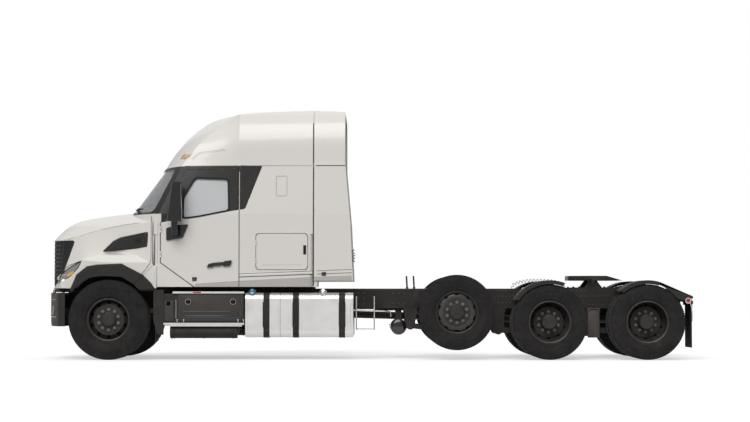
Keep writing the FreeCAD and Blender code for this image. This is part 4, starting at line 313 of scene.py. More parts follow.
class Form:
    """A mesh under construction, with the few moves that the pieces are made of."""

    def __init__(self) -> None:
        """Start with an empty mesh."""
        self.bm = bmesh.new()

    def bar(self, start: Sequence[float], end: Sequence[float], radius: float, sides: int = 16,
            end_radius: float | None = None, caps: bool = True) -> list[Vert]:
        """Add a round or sided bar between two points.

        Args:
            start: The middle of the first end.
            end: The middle of the other end.
            radius: The radius at the start.
            sides: How many flats go round it.
            end_radius: The radius at the end, if it differs.
            caps: Whether the ends are closed.

        Returns:
            The new vertices.
        """
        a, b = Vector(start), Vector(end)
        turn = (b - a).to_track_quat("Z", "Y").to_matrix().to_4x4()
        place = Matrix.Translation((a + b) / 2) @ turn
        last = radius if end_radius is None else end_radius
        made = bmesh.ops.create_cone(self.bm, cap_ends=caps, segments=sides, radius1=radius, radius2=last,
                                     depth=(b - a).length, matrix=place)
        return made["verts"]

    def block(self, low: Sequence[float], high: Sequence[float], edge: float = 0.0,
              segments: int = 2) -> list[Vert]:
        """Add a block between two corners, with its edges rounded.

        Args:
            low: The lowest corner.
            high: The highest corner.
            edge: The radius of the edges.
            segments: How many faces the rounding has.

        Returns:
            The new vertices, before the rounding.
        """
        a, b = Vector(low), Vector(high)
        size = Matrix.Diagonal((*(b - a), 1.0))
        made = bmesh.ops.create_cube(self.bm, size=1.0, matrix=Matrix.Translation((a + b) / 2) @ size)
        if edge:
            edges = {e for v in made["verts"] for e in v.link_edges}
            self.round_edges(edges, edge, segments)
        return made["verts"]

    def round_edges(self, edges: Iterable[Edge], edge: float, segments: int = 2) -> None:
        """Round some edges by a radius."""
        bmesh.ops.bevel(self.bm, geom=list(edges), offset=edge, offset_type="OFFSET", segments=segments,
                        profile=0.5, affect="EDGES", clamp_overlap=True, material=-1)

    def turned(self, profile: Profile, centre: Sequence[float], axis: Sequence[float] = (0, 1, 0),
               steps: int = 48) -> list[Face]:
        """Turn a profile of (radius, offset along the axis) about an axis.

        Args:
            profile: The line's points, from one end to the other.
            centre: The middle of the turned form.
            axis: The direction of the axis.
            steps: How many faces go round.

        Returns:
            The new faces.
        """
        middle, along = Vector(centre), Vector(axis).normalized()
        out = Vector((0, 0, 1)) if abs(along.z) < 0.9 else Vector((1, 0, 0))
        before = set(self.bm.faces)
        line = [self.bm.verts.new(middle + out * r + along * w) for r, w in profile]
        edges = [self.bm.edges.new(pair) for pair in zip(line, line[1:])]
        bmesh.ops.spin(self.bm, geom=line + edges, cent=middle, axis=along, angle=math.tau, steps=steps,
                       use_merge=True, use_duplicate=False)
        return [f for f in self.bm.faces if f not in before]

    def plate(self, outline: Sequence[Sequence[float]], push: Sequence[float], edge: float = 0.0,
              segments: int = 2) -> list[Face]:
        """Add a plate from an outline, pushed along a vector.

        Args:
            outline: The corners of one face, in order.
            push: The way and the distance to the other face.
            edge: The radius of all the edges.
            segments: How many faces the rounding has.

        Returns:
            The two flat faces.
        """
        face = self.bm.faces.new([self.bm.verts.new(Vector(p)) for p in outline])
        grown = bmesh.ops.extrude_face_region(self.bm, geom=[face])["geom"]
        moved = added(grown, Vert)
        bmesh.ops.translate(self.bm, verts=moved, vec=Vector(push))
        other = added(grown, Face)
        if edge:
            self.round_edges({e for f in [face, *other] for e in f.edges}, edge, segments)
        return [f for f in [face, *other] if f.is_valid]

    def flat_face(self, corners: Iterable[Point], corner: float, segments: int) -> Face:
        """Add a flat face with its corners rounded by a radius."""
        before = set(self.bm.verts)
        face = self.bm.faces.new([self.bm.verts.new(p) for p in corners])
        if not corner:
            return face
        bmesh.ops.bevel(self.bm, geom=list(face.verts), offset=corner, offset_type="OFFSET",
                        segments=segments, profile=0.5, affect="VERTICES", clamp_overlap=True, material=-1)
        return next(f for f in self.bm.faces if all(v not in before for v in f.verts))

    def tube(self, points: Sequence[Sequence[float]], radius: float, sides: int = 10) -> None:
        """Add a bent bar through points, with its ends closed.

        Args:
            points: The middle line.
            radius: The bar's radius.
            sides: How many flats go round it.
        """
        line = [Vector(p) for p in points]
        rings: list[list[Vert]] = []
        normal = None
        for i, here in enumerate(line):
            ahead = (line[min(i + 1, len(line) - 1)] - line[max(i - 1, 0)]).normalized()
            if normal is None:
                normal = ahead.orthogonal().normalized()
            normal = (normal - ahead * normal.dot(ahead)).normalized()
            side = ahead.cross(normal)
            turns = [math.tau * k / sides for k in range(sides)]
            rings.append([self.bm.verts.new(here + (normal * math.cos(t) + side * math.sin(t)) * radius)
                          for t in turns])
        loops = [[self.bm.edges.new((ring[k], ring[(k + 1) % sides])) for k in range(sides)]
                 for ring in rings]
        for first, second in zip(loops, loops[1:]):
            bmesh.ops.bridge_loops(self.bm, edges=first + second)
        for ring in (rings[0], rings[-1]):
            self.bm.faces.new(ring)

    def around(self, geometry: Sequence[Vert], centre: Sequence[float], axis: Sequence[float], count: int,
               sweep: float = math.tau) -> None:
        """Repeat a form round an axis.

        Args:
            geometry: The vertices of the first one.
            centre: A point on the axis.
            axis: The direction of the axis.
            count: How many there are in all.
            sweep: The angle that they share.
        """
        faces = {f for v in geometry for f in v.link_faces}
        edges = {e for v in geometry for e in v.link_edges}
        for k in range(1, count):
            copy = bmesh.ops.duplicate(self.bm, geom=[*geometry, *edges, *faces])["geom"]
            verts = added(copy, Vert)
            turn = Matrix.Rotation(sweep * k / count, 3, Vector(axis))
            bmesh.ops.rotate(self.bm, verts=verts, cent=Vector(centre), matrix=turn)

    def mirrored(self) -> "Form":
        """Add the same form on the other side of the tractor."""
        bmesh.ops.mirror(self.bm, geom=[*self.bm.verts, *self.bm.edges, *self.bm.faces],
                         matrix=Matrix.Identity(4), merge_dist=-1.0, axis="Y")
        return self

    def piece(self, name: str, finish: Finish, body: str, slot: str | None = None,
              replaces: Sequence[str] = (), merge: float = MERGE,
              smooth: float = EDGE_ANGLE) -> bpy.types.Object:
        """Close the form into a finished piece that rides on a body.

        Args:
            name: The piece's name.
            finish: Its surface.
            body: The CAD body that it moves with.
            slot: The record's material slot that it belongs to; not used.
            replaces: The CAD nodes that it stands for.
            merge: The distance under which vertices are joined.
            smooth: The angle under which edges are shaded smooth.

        Returns:
            The object, with its place in its mesh.
        """
        if merge:
            bmesh.ops.remove_doubles(self.bm, verts=self.bm.verts, dist=merge)
        bmesh.ops.recalc_face_normals(self.bm, faces=self.bm.faces)
        mesh = bpy.data.meshes.new(name)
        self.bm.to_mesh(mesh)
        self.bm.free()
        mesh.materials.append(finish.material())
        mesh.shade_smooth()
        mesh.set_sharp_from_angle(angle=smooth)
        made = linked(name, mesh)
        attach(made, body)
        if replaces:
            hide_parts(*replaces)
        log.info("%s: %d faces on %s", name, len(mesh.polygons), body)
        return made


@dataclass
class Wheel:
    """One wheel position: its tyre or twin tyres, and the bright and dark parts of its hub."""

    name: str
    side: str
    x: float
    z: float
    y: float
    tyre_r: float
    tyre_width: float
    rim_width: float
    disc_out: float
    cap_r: float
    cap_out: float
    tread: Tread
    twin_pitch: float = 0.0
    bead_r: float = 0.286
    lip: float = 0.013
    nut_circle_r: float = 0.1429
    nut_r: float = 0.0205
    hole_circle_r: float = 0.243
    hole_drop: float = -0.026
    steps: int = 96

    @property
    def sign(self) -> int:
        """The side of the tractor: -1 for the driver's side."""
        return SIDES[self.side]

    @property
    def body(self) -> str:
        """The CAD body of this wheel."""
        return f"{self.side}_{self.name}_wheel"

    def wall_profile(self) -> list[tuple[float, float]]:
        """Give one side wall's line, from the bead to the shoulder.

        Returns:
            Points of (radius, offset from the tyre's middle).
        """
        half = self.tyre_width / 2
        bead = self.rim_width / 2 - 0.009
        wall = self.tyre_r - self.bead_r
        ridge = 0.0025
        low = self.bead_r + self.lip
        return [
            (self.bead_r + 0.0003, bead), (low + 0.0003, bead + 0.0045),
            (low + 0.0005, self.rim_width / 2 + 0.005),
            (low + wall * 0.06, self.rim_width / 2 + 0.012),
            (low + wall * 0.10, half * 0.93), (low + wall * 0.115, half * 0.945),
            (low + wall * 0.13, half * 0.945), (low + wall * 0.145, half * 0.945 - ridge),
            (self.bead_r + wall * 0.34, half * 0.985), (self.bead_r + wall * 0.42, half),
            (self.bead_r + wall * 0.50, half * 0.997),
            (self.bead_r + wall * 0.56, half * 0.987), (self.bead_r + wall * 0.575, half * 0.987 + ridge),
            (self.bead_r + wall * 0.59, half * 0.987 + ridge), (self.bead_r + wall * 0.605, half * 0.975),
            (self.bead_r + wall * 0.68, half * 0.955), (self.bead_r + wall * 0.75, half * 0.925),
            (self.bead_r + wall * 0.80, half * 0.905),
            (self.tyre_r - wall * 0.10, half * 0.86), (self.tyre_r - wall * 0.045, half * 0.83),
        ]

    def tread_profile(self) -> list[tuple[float, float]]:
        """Give the running surface's line, from one shoulder to the other.

        Returns:
            Points of (radius, offset from the tyre's middle).
        """
        half = self.tyre_width / 2
        reach = half * 0.79
        depth = 0.012
        if self.tread is Tread.BLOCK:
            ribs = 6
            floor = self.tyre_r - depth
            return [(floor, reach - 2 * reach * k / ribs) for k in range(ribs + 1)]
        ribs = 5
        groove = 0.011
        pitch = 2 * reach / ribs
        points: list[tuple[float, float]] = []
        for k in range(ribs):
            left = reach - pitch * k - (groove / 2 if k else 0)
            right = reach - pitch * (k + 1) + (groove / 2 if k < ribs - 1 else 0)
            points += [(self.tyre_r, left), (self.tyre_r, right)]
            if k < ribs - 1:
                points += [(self.tyre_r - depth, right - groove * 0.25),
                           (self.tyre_r - depth, right - groove * 0.75)]
        return points

    def tyre_form(self, form: Form, y: float) -> None:
        """Add one tyre to a form.

        Args:
            form: The mesh to add to.
            y: The tyre's middle.
        """
        walls = self.wall_profile()
        line = walls + self.tread_profile() + [(r, -w) for r, w in reversed(walls)]
        centre = (self.x, y, self.z)
        faces = form.turned(line, centre, steps=self.steps)
        bmesh.ops.recalc_face_normals(form.bm, faces=faces)
        floor = self.tyre_r - 0.0125
        middle = Vector(centre)
        reach = self.tyre_width / 2 * 0.80

        def radius(point: Vector) -> float:
            """Give a point's distance from the axle."""
            return math.hypot(point.x - middle.x, point.z - middle.z)

        if self.tread is Tread.BLOCK:
            running = [f for f in faces if all(radius(v.co) > floor and abs(v.co.y - y) < reach
                                               for v in f.verts)]
            bmesh.ops.inset_individual(form.bm, faces=running, thickness=0.0042, depth=0.0115,
                                       use_even_offset=True)
            edge_faces = [f for f in faces if f.is_valid and f not in running
                          and all(self.tyre_r - 0.030 < radius(v.co) for v in f.verts)]
            bmesh.ops.inset_individual(form.bm, faces=edge_faces, thickness=0.003, depth=-0.003,
                                       use_even_offset=True)
        else:
            ribs = [f for f in faces if all(radius(v.co) > self.tyre_r - 0.001 for v in f.verts)]
            bmesh.ops.inset_individual(form.bm, faces=ribs, thickness=0.0016, depth=-0.002,
                                       use_even_offset=True)

    def build(self) -> None:
        """Build the tyre, the nuts, the painted shade in the holes, the cap and the rim's edge."""
        tyres = [self.y] + ([self.y - self.sign * self.twin_pitch] if self.twin_pitch else [])
        form = Form()
        for y in tyres:
            self.tyre_form(form, y)
        plural = "s" if self.twin_pitch else ""
        node = f"{self.side}_{self.name}_tyre{plural}"
        form.piece(f"{node}_cut", RUBBER, self.body, "tyre", (node,))
        self.nuts()
        self.hand_holes()
        self.cap()
        self.lip_ring()

    def nuts(self) -> None:
        """Add the flanged wheel nuts over their studs."""
        face = self.y + self.sign * self.disc_out
        out = self.sign
        form = Form()
        top = self.z + self.nut_circle_r
        verts = form.bar((self.x, face, top), (self.x, face + out * 0.005, top), self.nut_r + 0.003, 16)
        verts += form.bar((self.x, face + out * 0.005, top), (self.x, face + out * 0.027, top),
                          self.nut_r, 6, self.nut_r * 0.97)
        verts += form.bar((self.x, face + out * 0.02, top), (self.x, face + out * 0.034, top), 0.011, 10,
                          0.0095)
        form.around(verts, (self.x, 0, self.z), (0, 1, 0), NUT_COUNT)
        form.piece(f"{self.body}_nuts", WHEEL_NUTS, self.body, "wheel_paint", merge=0.0)

    def hand_holes(self) -> None:
        """Fill the hand holes with near-black discs: painted shade for their dark depth."""
        form = Form()
        top = self.z + self.hole_circle_r
        at = self.y + self.sign * (self.disc_out + self.hole_drop)
        if self.name == "lift":
            self.disc_face()
            at = self.y + self.sign * (self.disc_out - 0.0015)
            verts = form.bar((self.x, at - self.sign * 0.004, top - 0.0035), (self.x, at, top - 0.0030),
                             0.030, 28)
        else:
            verts = form.bar((self.x, at - self.sign * 0.014, top), (self.x, at, top), 0.0248, 24)
        form.around(verts, (self.x, 0, self.z), (0, 1, 0), NUT_COUNT)
        form.piece(f"{self.body}_hole_depths", HOLE_SHADE_AND_LATCH_BLACK, self.body, "wheel_paint", merge=0.0)

    def disc_face(self) -> None:
        """Add the pressed outer face of a disc that bulges out to the rim, in a lighter copy of the wheel
        paint: painted light on the bulge.
        """
        out = self.disc_out
        line = [(0.196, out + 0.0005), (0.210, out + 0.0022), (0.240, out - 0.0008), (0.258, out - 0.008),
                (0.268, out - 0.020), (0.2705, out - 0.036)]
        form = Form()
        form.turned([(r, w * self.sign) for r, w in line], (self.x, self.y, self.z), steps=self.steps)
        form.piece(f"{self.body}_disc_face", DISC_FACE_LIT, self.body, "wheel_paint")

    def cap(self) -> None:
        """Add the raised hub cap with its bolts."""
        y = self.y
        r = self.cap_r
        out = self.cap_out
        line = [(r + 0.012, self.disc_out + 0.001), (r + 0.012, self.disc_out + 0.010),
                (r + 0.002, self.disc_out + 0.014), (r + 0.0015, out - 0.016), (r - 0.006, out - 0.005),
                (r - 0.02, out + 0.0006), (r * 0.55, out + 0.002), (r * 0.5, out + 0.0012),
                (r * 0.3, out + 0.0014), (0.0, out + 0.0016)]
        form = Form()
        form.turned([(a, b * self.sign) for a, b in line], (self.x, y, self.z), steps=48)
        face = y + self.sign * out
        at = self.z + r * 0.74
        verts = form.bar((self.x, face, at), (self.x, face + self.sign * 0.006, at), 0.008, 6)
        form.around(verts, (self.x, 0, self.z), (0, 1, 0), 6)
        form.piece(f"{self.body}_cap", WHEEL_PAINT, self.body, "wheel_paint")

    def lip_ring(self) -> None:
        """Add the rim's edge, lighter and more metallic than the wheel paint except on the lift wheel."""
        edge = self.y + self.sign * (self.rim_width / 2)
        outer = self.bead_r + self.lip
        line = [(outer - 0.0105, -0.004), (outer - 0.012, 0.0008), (outer - 0.006, 0.0032),
                (outer - 0.0005, 0.0012), (outer - 0.0005, -0.003)]
        form = Form()
        form.turned([(r, w * self.sign) for r, w in line], (self.x, edge, self.z), steps=self.steps)
        finish = WHEEL_PAINT if self.name == "lift" else RIM_EDGE
        form.piece(f"{self.body}_rim_edge", finish, self.body, "wheel_paint")


# Lighter and more metallic than the wheel paint, in patches along the rim's edge.
RIM_EDGE = Finish("lighter_rim_edge", (0.050, 0.048, 0.046), 0.42, metallic=0.4, drift=0.3, drift_scale=12,
    grain_scale=300)
# Near-black with no specular: painted shade in the wheels' hand holes, and the real black of the box latches.
HOLE_SHADE_AND_LATCH_BLACK = Finish("hole_shade_and_latch_black", (0.006, 0.006, 0.006), 0.95, drift=0.1, grain_scale=300,
    specular=0.0)
# A lighter copy of the wheel paint: painted light on the lift wheel's bulging disc face.
DISC_FACE_LIT = Finish("disc_face_lit_paint", (0.046, 0.042, 0.039), 0.36, drift=0.15, drift_scale=6,
    grain_scale=420, dust=0.1, specular=0.3)
WHEEL_NUTS = Finish("wheel_nuts", (0.15, 0.145, 0.14), 0.36, metallic=0.5, drift=0.2, grain_scale=300)


def all_wheels() -> list[Wheel]:
    """List the eight wheel positions.

    Returns:
        The wheels, driver's side first.
    """
    wheels: list[Wheel] = []
    for side, sign in SIDES.items():
        wheels.append(Wheel("front", side, FRONT_AXLE_X, FRONT_TYRE_R, sign * 1.018, FRONT_TYRE_R, 0.420,
                            0.330, 0.118, 0.098, 0.168, Tread.RIB, hole_drop=-0.035))
        wheels.append(Wheel("lift", side, LIFT_AXLE_X, LIFT_CENTRE_Z, sign * 1.075, LIFT_TYRE_R, 0.290,
                            0.229, 0.112, 0.104, 0.138, Tread.RIB))
        for name, x in (("first_drive", FIRST_DRIVE_X), ("second_drive", SECOND_DRIVE_X)):
            wheels.append(Wheel(name, side, x, DRIVE_TYRE_R, sign * 1.095, DRIVE_TYRE_R, 0.278, 0.210,
                                -0.155, 0.108, 0.055, Tread.BLOCK, twin_pitch=0.334,
                                hole_drop=0.036))
    return wheels


def cab_side(x: float, z: float) -> float:
    """Give the cab's half width on its side wall.

    Args:
        x: The place along the tractor.
        z: The height.

    Returns:
        The distance from the middle plane to the paint.
    """
    rise = min(1.0, max(0.0, (z - WALL_LEAN_FROM) / WALL_LEAN_HEIGHT))
    corner_x = -2.990 + 0.066 * (rise > 0) + 0.316 * rise
    corner = 1.150 - 0.010 * (rise > 0) - 0.080 * rise
    middle = 1.220 - 0.040 * rise
    if x > DOOR_REAR_X:
        return middle + 0.010 * rise * (x - DOOR_REAR_X) / 1.047
    share = (x - corner_x) / (DOOR_REAR_X - corner_x)
    return corner + (middle - corner) * max(0.0, share)


def rect(u0: float, u1: float, v0: float, v1: float) -> Profile:
    """Give the four corners of a rectangle."""
    return ((u0, v0), (u1, v0), (u1, v1), (u0, v1))


@dataclass
class OneSide:
    """A sub-assembly that is on both sides of the tractor, on one of them."""

    side: str

    @property
    def sign(self) -> int:
        """The side of the tractor: -1 for the driver's side."""
        return SIDES[self.side]

    @property
    def door_body(self) -> str:
        """The body of this side's door."""
        return f"{self.side}_door_body"

    def add(self, form: Form, name: str, finish: Finish, body: str = "chassis", slot: str = "trim",
            merge: float = MERGE) -> None:
        """Close a form into a piece that is named for its side."""
        form.piece(f"{self.side}_{name}", finish, body, slot, merge=merge)


@dataclass
class SkinPatch:
    """A thin skin over part of a CAD node's outer face, such as a gloss band.

    The outline is a convex polygon seen from the side; the skin follows the node's own surface.
    """

    name: str
    nodes: tuple[str, ...]
    body: str
    outline: Profile
    finish: Finish
    side: int
    lift: float = 0.0015
    front_facing: bool = False
    inner_limit: float = 0.6
    slot: str = "trim"

    def build(self) -> bpy.types.Object:
        """Cut the patch out of copies of the nodes' meshes and give it a thickness.

        Returns:
            The finished piece.
        """
        form = Form()
        bm = form.bm
        for node in self.nodes:
            bm.from_mesh(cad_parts[node].data)
        bmesh.ops.remove_doubles(bm, verts=bm.verts, dist=0.00005)
        bm.normal_update()
        spare = [f for f in bm.faces if not self._outer(f)]
        bmesh.ops.delete(bm, geom=spare, context="FACES")
        middle = Vector((sum(p[0] for p in self.outline), 0, sum(p[1] for p in self.outline)))
        middle /= len(self.outline)
        for a, b in zip(self.outline, (*self.outline[1:], self.outline[0])):
            start, end = Vector((a[0], 0, a[1])), Vector((b[0], 0, b[1]))
            normal = (end - start).cross(Vector((0, 1, 0))).normalized()
            if normal.dot(middle - start) > 0:
                normal = -normal
            bmesh.ops.bisect_plane(bm, geom=[*bm.verts, *bm.edges, *bm.faces], plane_co=start,
                                   plane_no=normal, clear_outer=True, dist=0.00001)
        bm.normal_update()
        for vert in bm.verts:
            vert.co += vert.normal * self.lift
        bmesh.ops.solidify(bm, geom=list(bm.faces), thickness=self.lift)
        return form.piece(self.name, self.finish, self.body, self.slot)

    def _outer(self, face: Face) -> bool:
        """Tell whether a face is on the outer skin that the patch covers."""
        centre = face.calc_center_median()
        normal = face.normal
        sideways = normal.y * self.side > 0.45 and centre.y * self.side > self.inner_limit
        if not self.front_facing:
            return sideways
        ahead = normal.x < -0.25 and centre.y * self.side > -0.02
        edge = cab_side(centre.x, centre.z)
        outer_side = sideways and centre.y * self.side > edge - 0.020
        return outer_side or (ahead and self._front_skin(centre))

    def _front_skin(self, centre: Vector) -> bool:
        """Tell whether a point lies on the outer skin of the sloped windscreen frame."""
        rise = (centre.z - WALL_LEAN_FROM) / WALL_LEAN_HEIGHT
        corner_x = -2.924 + 0.316 * rise
        nose_x = -3.426 + 0.494 * rise
        half = 1.140 - 0.080 * rise
        bow = 1 - min(1.0, abs(centre.y) / half) ** 2
        return centre.x < corner_x + (nose_x - corner_x) * bow + 0.022


@dataclass
class CabTrim(OneSide):
    """The dark glazing, handles, markers, seals and latches of the cab and sleeper."""

    belt: Profile = ((-2.890, 1.929), (-1.789, 2.104))
    glass: Profile = (
        (-2.575, 1.985), (-2.575, 2.271), (-2.404, 2.557), (-1.945, 2.535), (-1.931, 2.100),
        (-2.346, 2.014))
    handle: Profile = (
        (-2.239, 1.297), (-2.215, 1.345), (-2.145, 1.362), (-2.067, 1.364), (-1.997, 1.374),
        (-1.983, 1.387), (-1.887, 1.395), (-1.896, 1.352), (-1.913, 1.319), (-2.000, 1.312),
        (-2.018, 1.331), (-2.138, 1.318), (-2.159, 1.300))
    hatch: tuple[float, float, float, float] = (-1.547, -0.828, 1.268, 1.768)
    vent: tuple[float, float, float, float] = (-1.270, -1.112, 2.296, 2.583)

    def at(self, x: float, z: float, lift: float = 0.0) -> Vector:
        """Give a point on the cab's side wall, moved outwards by a distance."""
        return Vector((x, self.sign * (cab_side(x, z) + lift), z))

    def door_frame(self) -> None:
        """Blacken the door's window frame above the belt line."""
        outline = (self.belt[0], self.belt[1], (-1.785, 2.690), (-2.950, 2.690))
        SkinPatch(f"{self.side}_door_frame_trim", (f"{self.side}_door",), self.door_body, outline,
                  DOOR_TRIM, self.sign, inner_limit=0.95).build()

    def pillars(self) -> None:
        """Blacken the front pillar, the windscreen's frame and the sleeper's quarter panel."""
        rows = (("pillar", rect(-3.60, -2.560, 2.052, 2.724), 0.95),
                ("pillar_foot", ((-2.886, 1.931), (-2.886, 2.0515), (-2.560, 2.0515), (-2.560, 1.984)), 1.10),
                ("header", rect(-2.559, -1.780, 2.640, 2.724), 1.05),
                ("quarter", ((-1.779, 2.105), (-1.722, 2.113), (-1.697, 2.131), (-1.463, 2.724),
                             (-1.779, 2.724)), 1.10))
        for name, outline, limit in rows:
            SkinPatch(f"{self.side}_{name}_trim", ("cab_shell",), "chassis", outline, DOOR_TRIM, self.sign,
                      front_facing=name == "pillar", inner_limit=limit).build()

    def ring(self, form: Form, outline: Profile, width: float, rise: float, corner: float) -> None:
        """Add a rounded strip that follows an outline on the side wall.

        Args:
            form: The mesh to add to.
            outline: Its corners as (x, z).
            width: How wide the strip is.
            rise: How far it stands out.
            corner: The radius of its corners.
        """
        bm = form.bm
        before = set(bm.verts)
        face = form.flat_face([(x, 0, z) for x, z in outline], corner, 6)
        bmesh.ops.inset_region(bm, faces=[face], thickness=width, use_boundary=True, use_even_offset=True)
        strip = [f for f in bm.faces if f is not face and all(v not in before for v in f.verts)]
        bmesh.ops.delete(bm, geom=[face], context="FACES_ONLY")
        bmesh.ops.solidify(bm, geom=strip, thickness=rise)
        fresh = [v for v in bm.verts if v not in before]
        low = min(v.co.y for v in fresh)
        for v in fresh:
            v.co.y = self.sign * (cab_side(v.co.x, v.co.z) + (v.co.y - low) - rise * 0.35)
        edges = {e for v in fresh for e in v.link_edges if e.calc_face_angle(0) > 1.2}
        form.round_edges(edges, rise * 0.3, 2)

    def window_seal(self) -> None:
        """Add the rubber strip round the door glass."""
        form = Form()
        grown = [(x + (0.014 if x > -2.2 else -0.014), z + (0.014 if z > 2.2 else -0.014))
                 for x, z in self.glass]
        self.ring(form, grown, 0.024, 0.006, 0.055)
        self.add(form, "window_seal", FLAP_RUBBER, self.door_body)

    def door_handle(self) -> None:
        """Add the pull handle with its lock, and the dished cup behind it."""
        form = Form()
        outline = [self.at(x, z, 0.014) for x, z in self.handle]
        form.plate(outline, (0, self.sign * 0.019, 0), 0.004, 3)
        for x, z in ((-2.205, 1.322), (-1.925, 1.357)):
            form.bar(self.at(x, z, -0.004), self.at(x, z, 0.018), 0.019, 20)
        form.bar(self.at(-1.922, 1.356, 0.030), self.at(-1.922, 1.356, 0.036), 0.011, 20)
        self.add(form, "door_handle", DOOR_TRIM, self.door_body)
        cup = Form()
        bm = cup.bm
        made = bmesh.ops.create_uvsphere(bm, u_segments=28, v_segments=14, radius=1.0)
        place = self.at(-2.073, 1.338, 0.0)
        bmesh.ops.scale(bm, verts=made["verts"], vec=(0.076, 0.006, 0.042))
        bmesh.ops.rotate(bm, verts=made["verts"], cent=(0, 0, 0), matrix=Matrix.Rotation(-0.10, 3, "Y"))
        bmesh.ops.translate(bm, verts=made["verts"], vec=place)
        self.add(cup, "handle_cup", PANEL_SHADE, self.door_body, "cab_paint")

    def markers(self) -> None:
        """Add the two small square side markers."""
        form = Form()
        for x, z in ((-2.413, 1.134), (-0.598, 1.205)):
            for wide, high, inner in ((0.032, 0.028, 0.0), (0.022, 0.019, 0.003)):
                ends = self.at(x - wide, z - high, inner), self.at(x + wide, z + high, inner + 0.006)
                corners = [sorted(pair) for pair in zip(*ends)]
                form.block([c[0] for c in corners], [c[1] for c in corners], 0.003)
        self.add(form, "side_markers", GLOSS_TRIM, "chassis", "lamp")

    def catches(self) -> None:
        """Add the luggage door's flush latch and its seal strip, and the sleeper's vent door."""
        x0, x1, z0, z1 = self.hatch
        latch = Form()
        outline = [self.at(x, z, -0.002) for x, z in rect(-0.886, -0.846, 1.478, 1.606)]
        faces = latch.plate(outline, (0, self.sign * 0.006, 0))
        outer = max(faces, key=lambda f: f.calc_center_median().y * self.sign)
        bmesh.ops.inset_region(latch.bm, faces=[outer], thickness=0.006, depth=-0.004)
        self.add(latch, "luggage_latch", GLOSS_TRIM, f"{self.side}_luggage_body", "cab_paint")
        frame_form = Form()
        self.ring(frame_form, rect(x0 - 0.020, x1 + 0.020, z0 - 0.020, z1 + 0.020), 0.012, 0.004, 0.055)
        self.add(frame_form, "luggage_frame", CAB_PAINT, "chassis", "cab_paint")
        a0, a1, b0, b1 = self.vent
        vent = Form()
        self.ring(vent, rect(a0, a1, b0, b1), 0.007, 0.0035, 0.025)
        self.add(vent, "sleeper_hatch_seam", PANEL_SHADE, "chassis", "cab_paint")

    def sill(self) -> None:
        """Add the raised sill moulding along the sleeper's foot."""
        form = Form()
        corners = ((-1.780, 1.166), (-0.760, 1.206), (-0.760, 1.240), (-1.780, 1.200))
        form.plate([self.at(x, z, -0.002) for x, z in corners], (0, self.sign * 0.010, 0), 0.003, 2)
        self.add(form, "sill_moulding", CAB_PAINT, "chassis", "cab_paint")

    def build(self) -> None:
        """Build all the trim of this side."""
        self.door_frame()
        self.pillars()
        self.window_seal()
        self.door_handle()
        self.markers()
        self.catches()
        self.sill()


DOOR_TRIM = Finish("glazing_black", (0.022, 0.0205, 0.019), 0.36, coat=0.08, drift=0.05, grain_scale=800,
    grain_share=0.08, specular=0.3)
PANEL_SHADE = Finish("panel_shade", (0.42, 0.40, 0.375), 0.4, coat=0.3, drift=0.03, grain_scale=800,
    grain_share=0.1)


class Skin:
    """The outer face of some CAD nodes, felt along straight lines."""

    def __init__(self, *nodes: str) -> None:
        """Gather the faces of the nodes."""
        form = bmesh.new()
        for node in nodes:
            form.from_mesh(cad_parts[node].data)
        self.tree = BVHTree.FromBMesh(form)
        form.free()

    def feel(self, start: Sequence[float], along: Sequence[float], lift: float, deepest: float) -> Vector:
        """Give the first point that a line meets, moved back towards its start.

        Args:
            start: Where the line starts, outside the nodes.
            along: Its direction.
            lift: How far the point is moved back.
            deepest: How far along the line the surface may be.

        Returns:
            The point; where nothing is met, the nearest point of the nodes to the line's deepest place.
        """
        way = Vector(along).normalized()
        hit = self.tree.ray_cast(Vector(start), way, deepest)[0]
        if hit is None:
            end = Vector(start) + way * deepest
            near = self.tree.find_nearest(end)[0]
            hit = Vector(start) + way * (near - Vector(start)).dot(way)
        return hit - way * lift

    def side(self, sign: int, lift: float = 0.0) -> Feel:
        """Give the function that feels (x, z) from one side."""
        return lambda x, z, more=0.0: self.feel((x, sign * 2.5, z), (0, -sign, 0), lift + more, 1.9)

    def ahead(self, lift: float = 0.0) -> Feel:
        """Give the function that feels (y, z) from the front."""
        return lambda y, z, more=0.0: self.feel((-6.0, y, z), (1, 0, 0), lift + more, 3.4)

    def behind(self, lift: float = 0.0) -> Feel:
        """Give the function that feels (y, z) from behind."""
        return lambda y, z, more=0.0: self.feel((6.0, y, z), (-1, 0, 0), lift + more, 12.0)

    def above(self, lift: float = 0.0) -> Feel:
        """Give the function that feels (x, y) from above."""
        return lambda x, y, more=0.0: self.feel((x, y, 5.0), (0, 0, -1), lift + more, 5.0)


def cab_wall(sign: int, lift: float = 0.0) -> Feel:
    """Give the function that feels (x, z) on the cab's side wall, also over its openings."""
    return lambda x, z, more=0.0: Vector((x, sign * (cab_side(x, z) + lift + more), z))


def settled(points: Sequence[Vector], out: Vector, most: float = 0.03) -> list[Vector]:
    """Bring points that fell into a gap back to the height of the points beside them.

    Args:
        points: The points along a line over a surface.
        out: The direction away from the surface.
        most: The deepest real step between neighbours.

    Returns:
        The mended points.
    """
    heights = [p.dot(out) for p in points]
    middle = sorted(heights)[len(heights) // 2]
    kept = [i for i, h in enumerate(heights) if abs(h - middle) < 0.25]
    for i in range(1, len(heights)):
        if heights[i - 1] - heights[i] > most and max(heights[i:i + 4]) - heights[i] > most:
            heights[i] = heights[i - 1]
    for i in range(len(heights)):
        if i not in kept:
            near = min(kept, key=lambda k: abs(k - i))
            heights[i] = heights[near]
    return [p + out * (h - p.dot(out)) for p, h in zip(points, heights)]


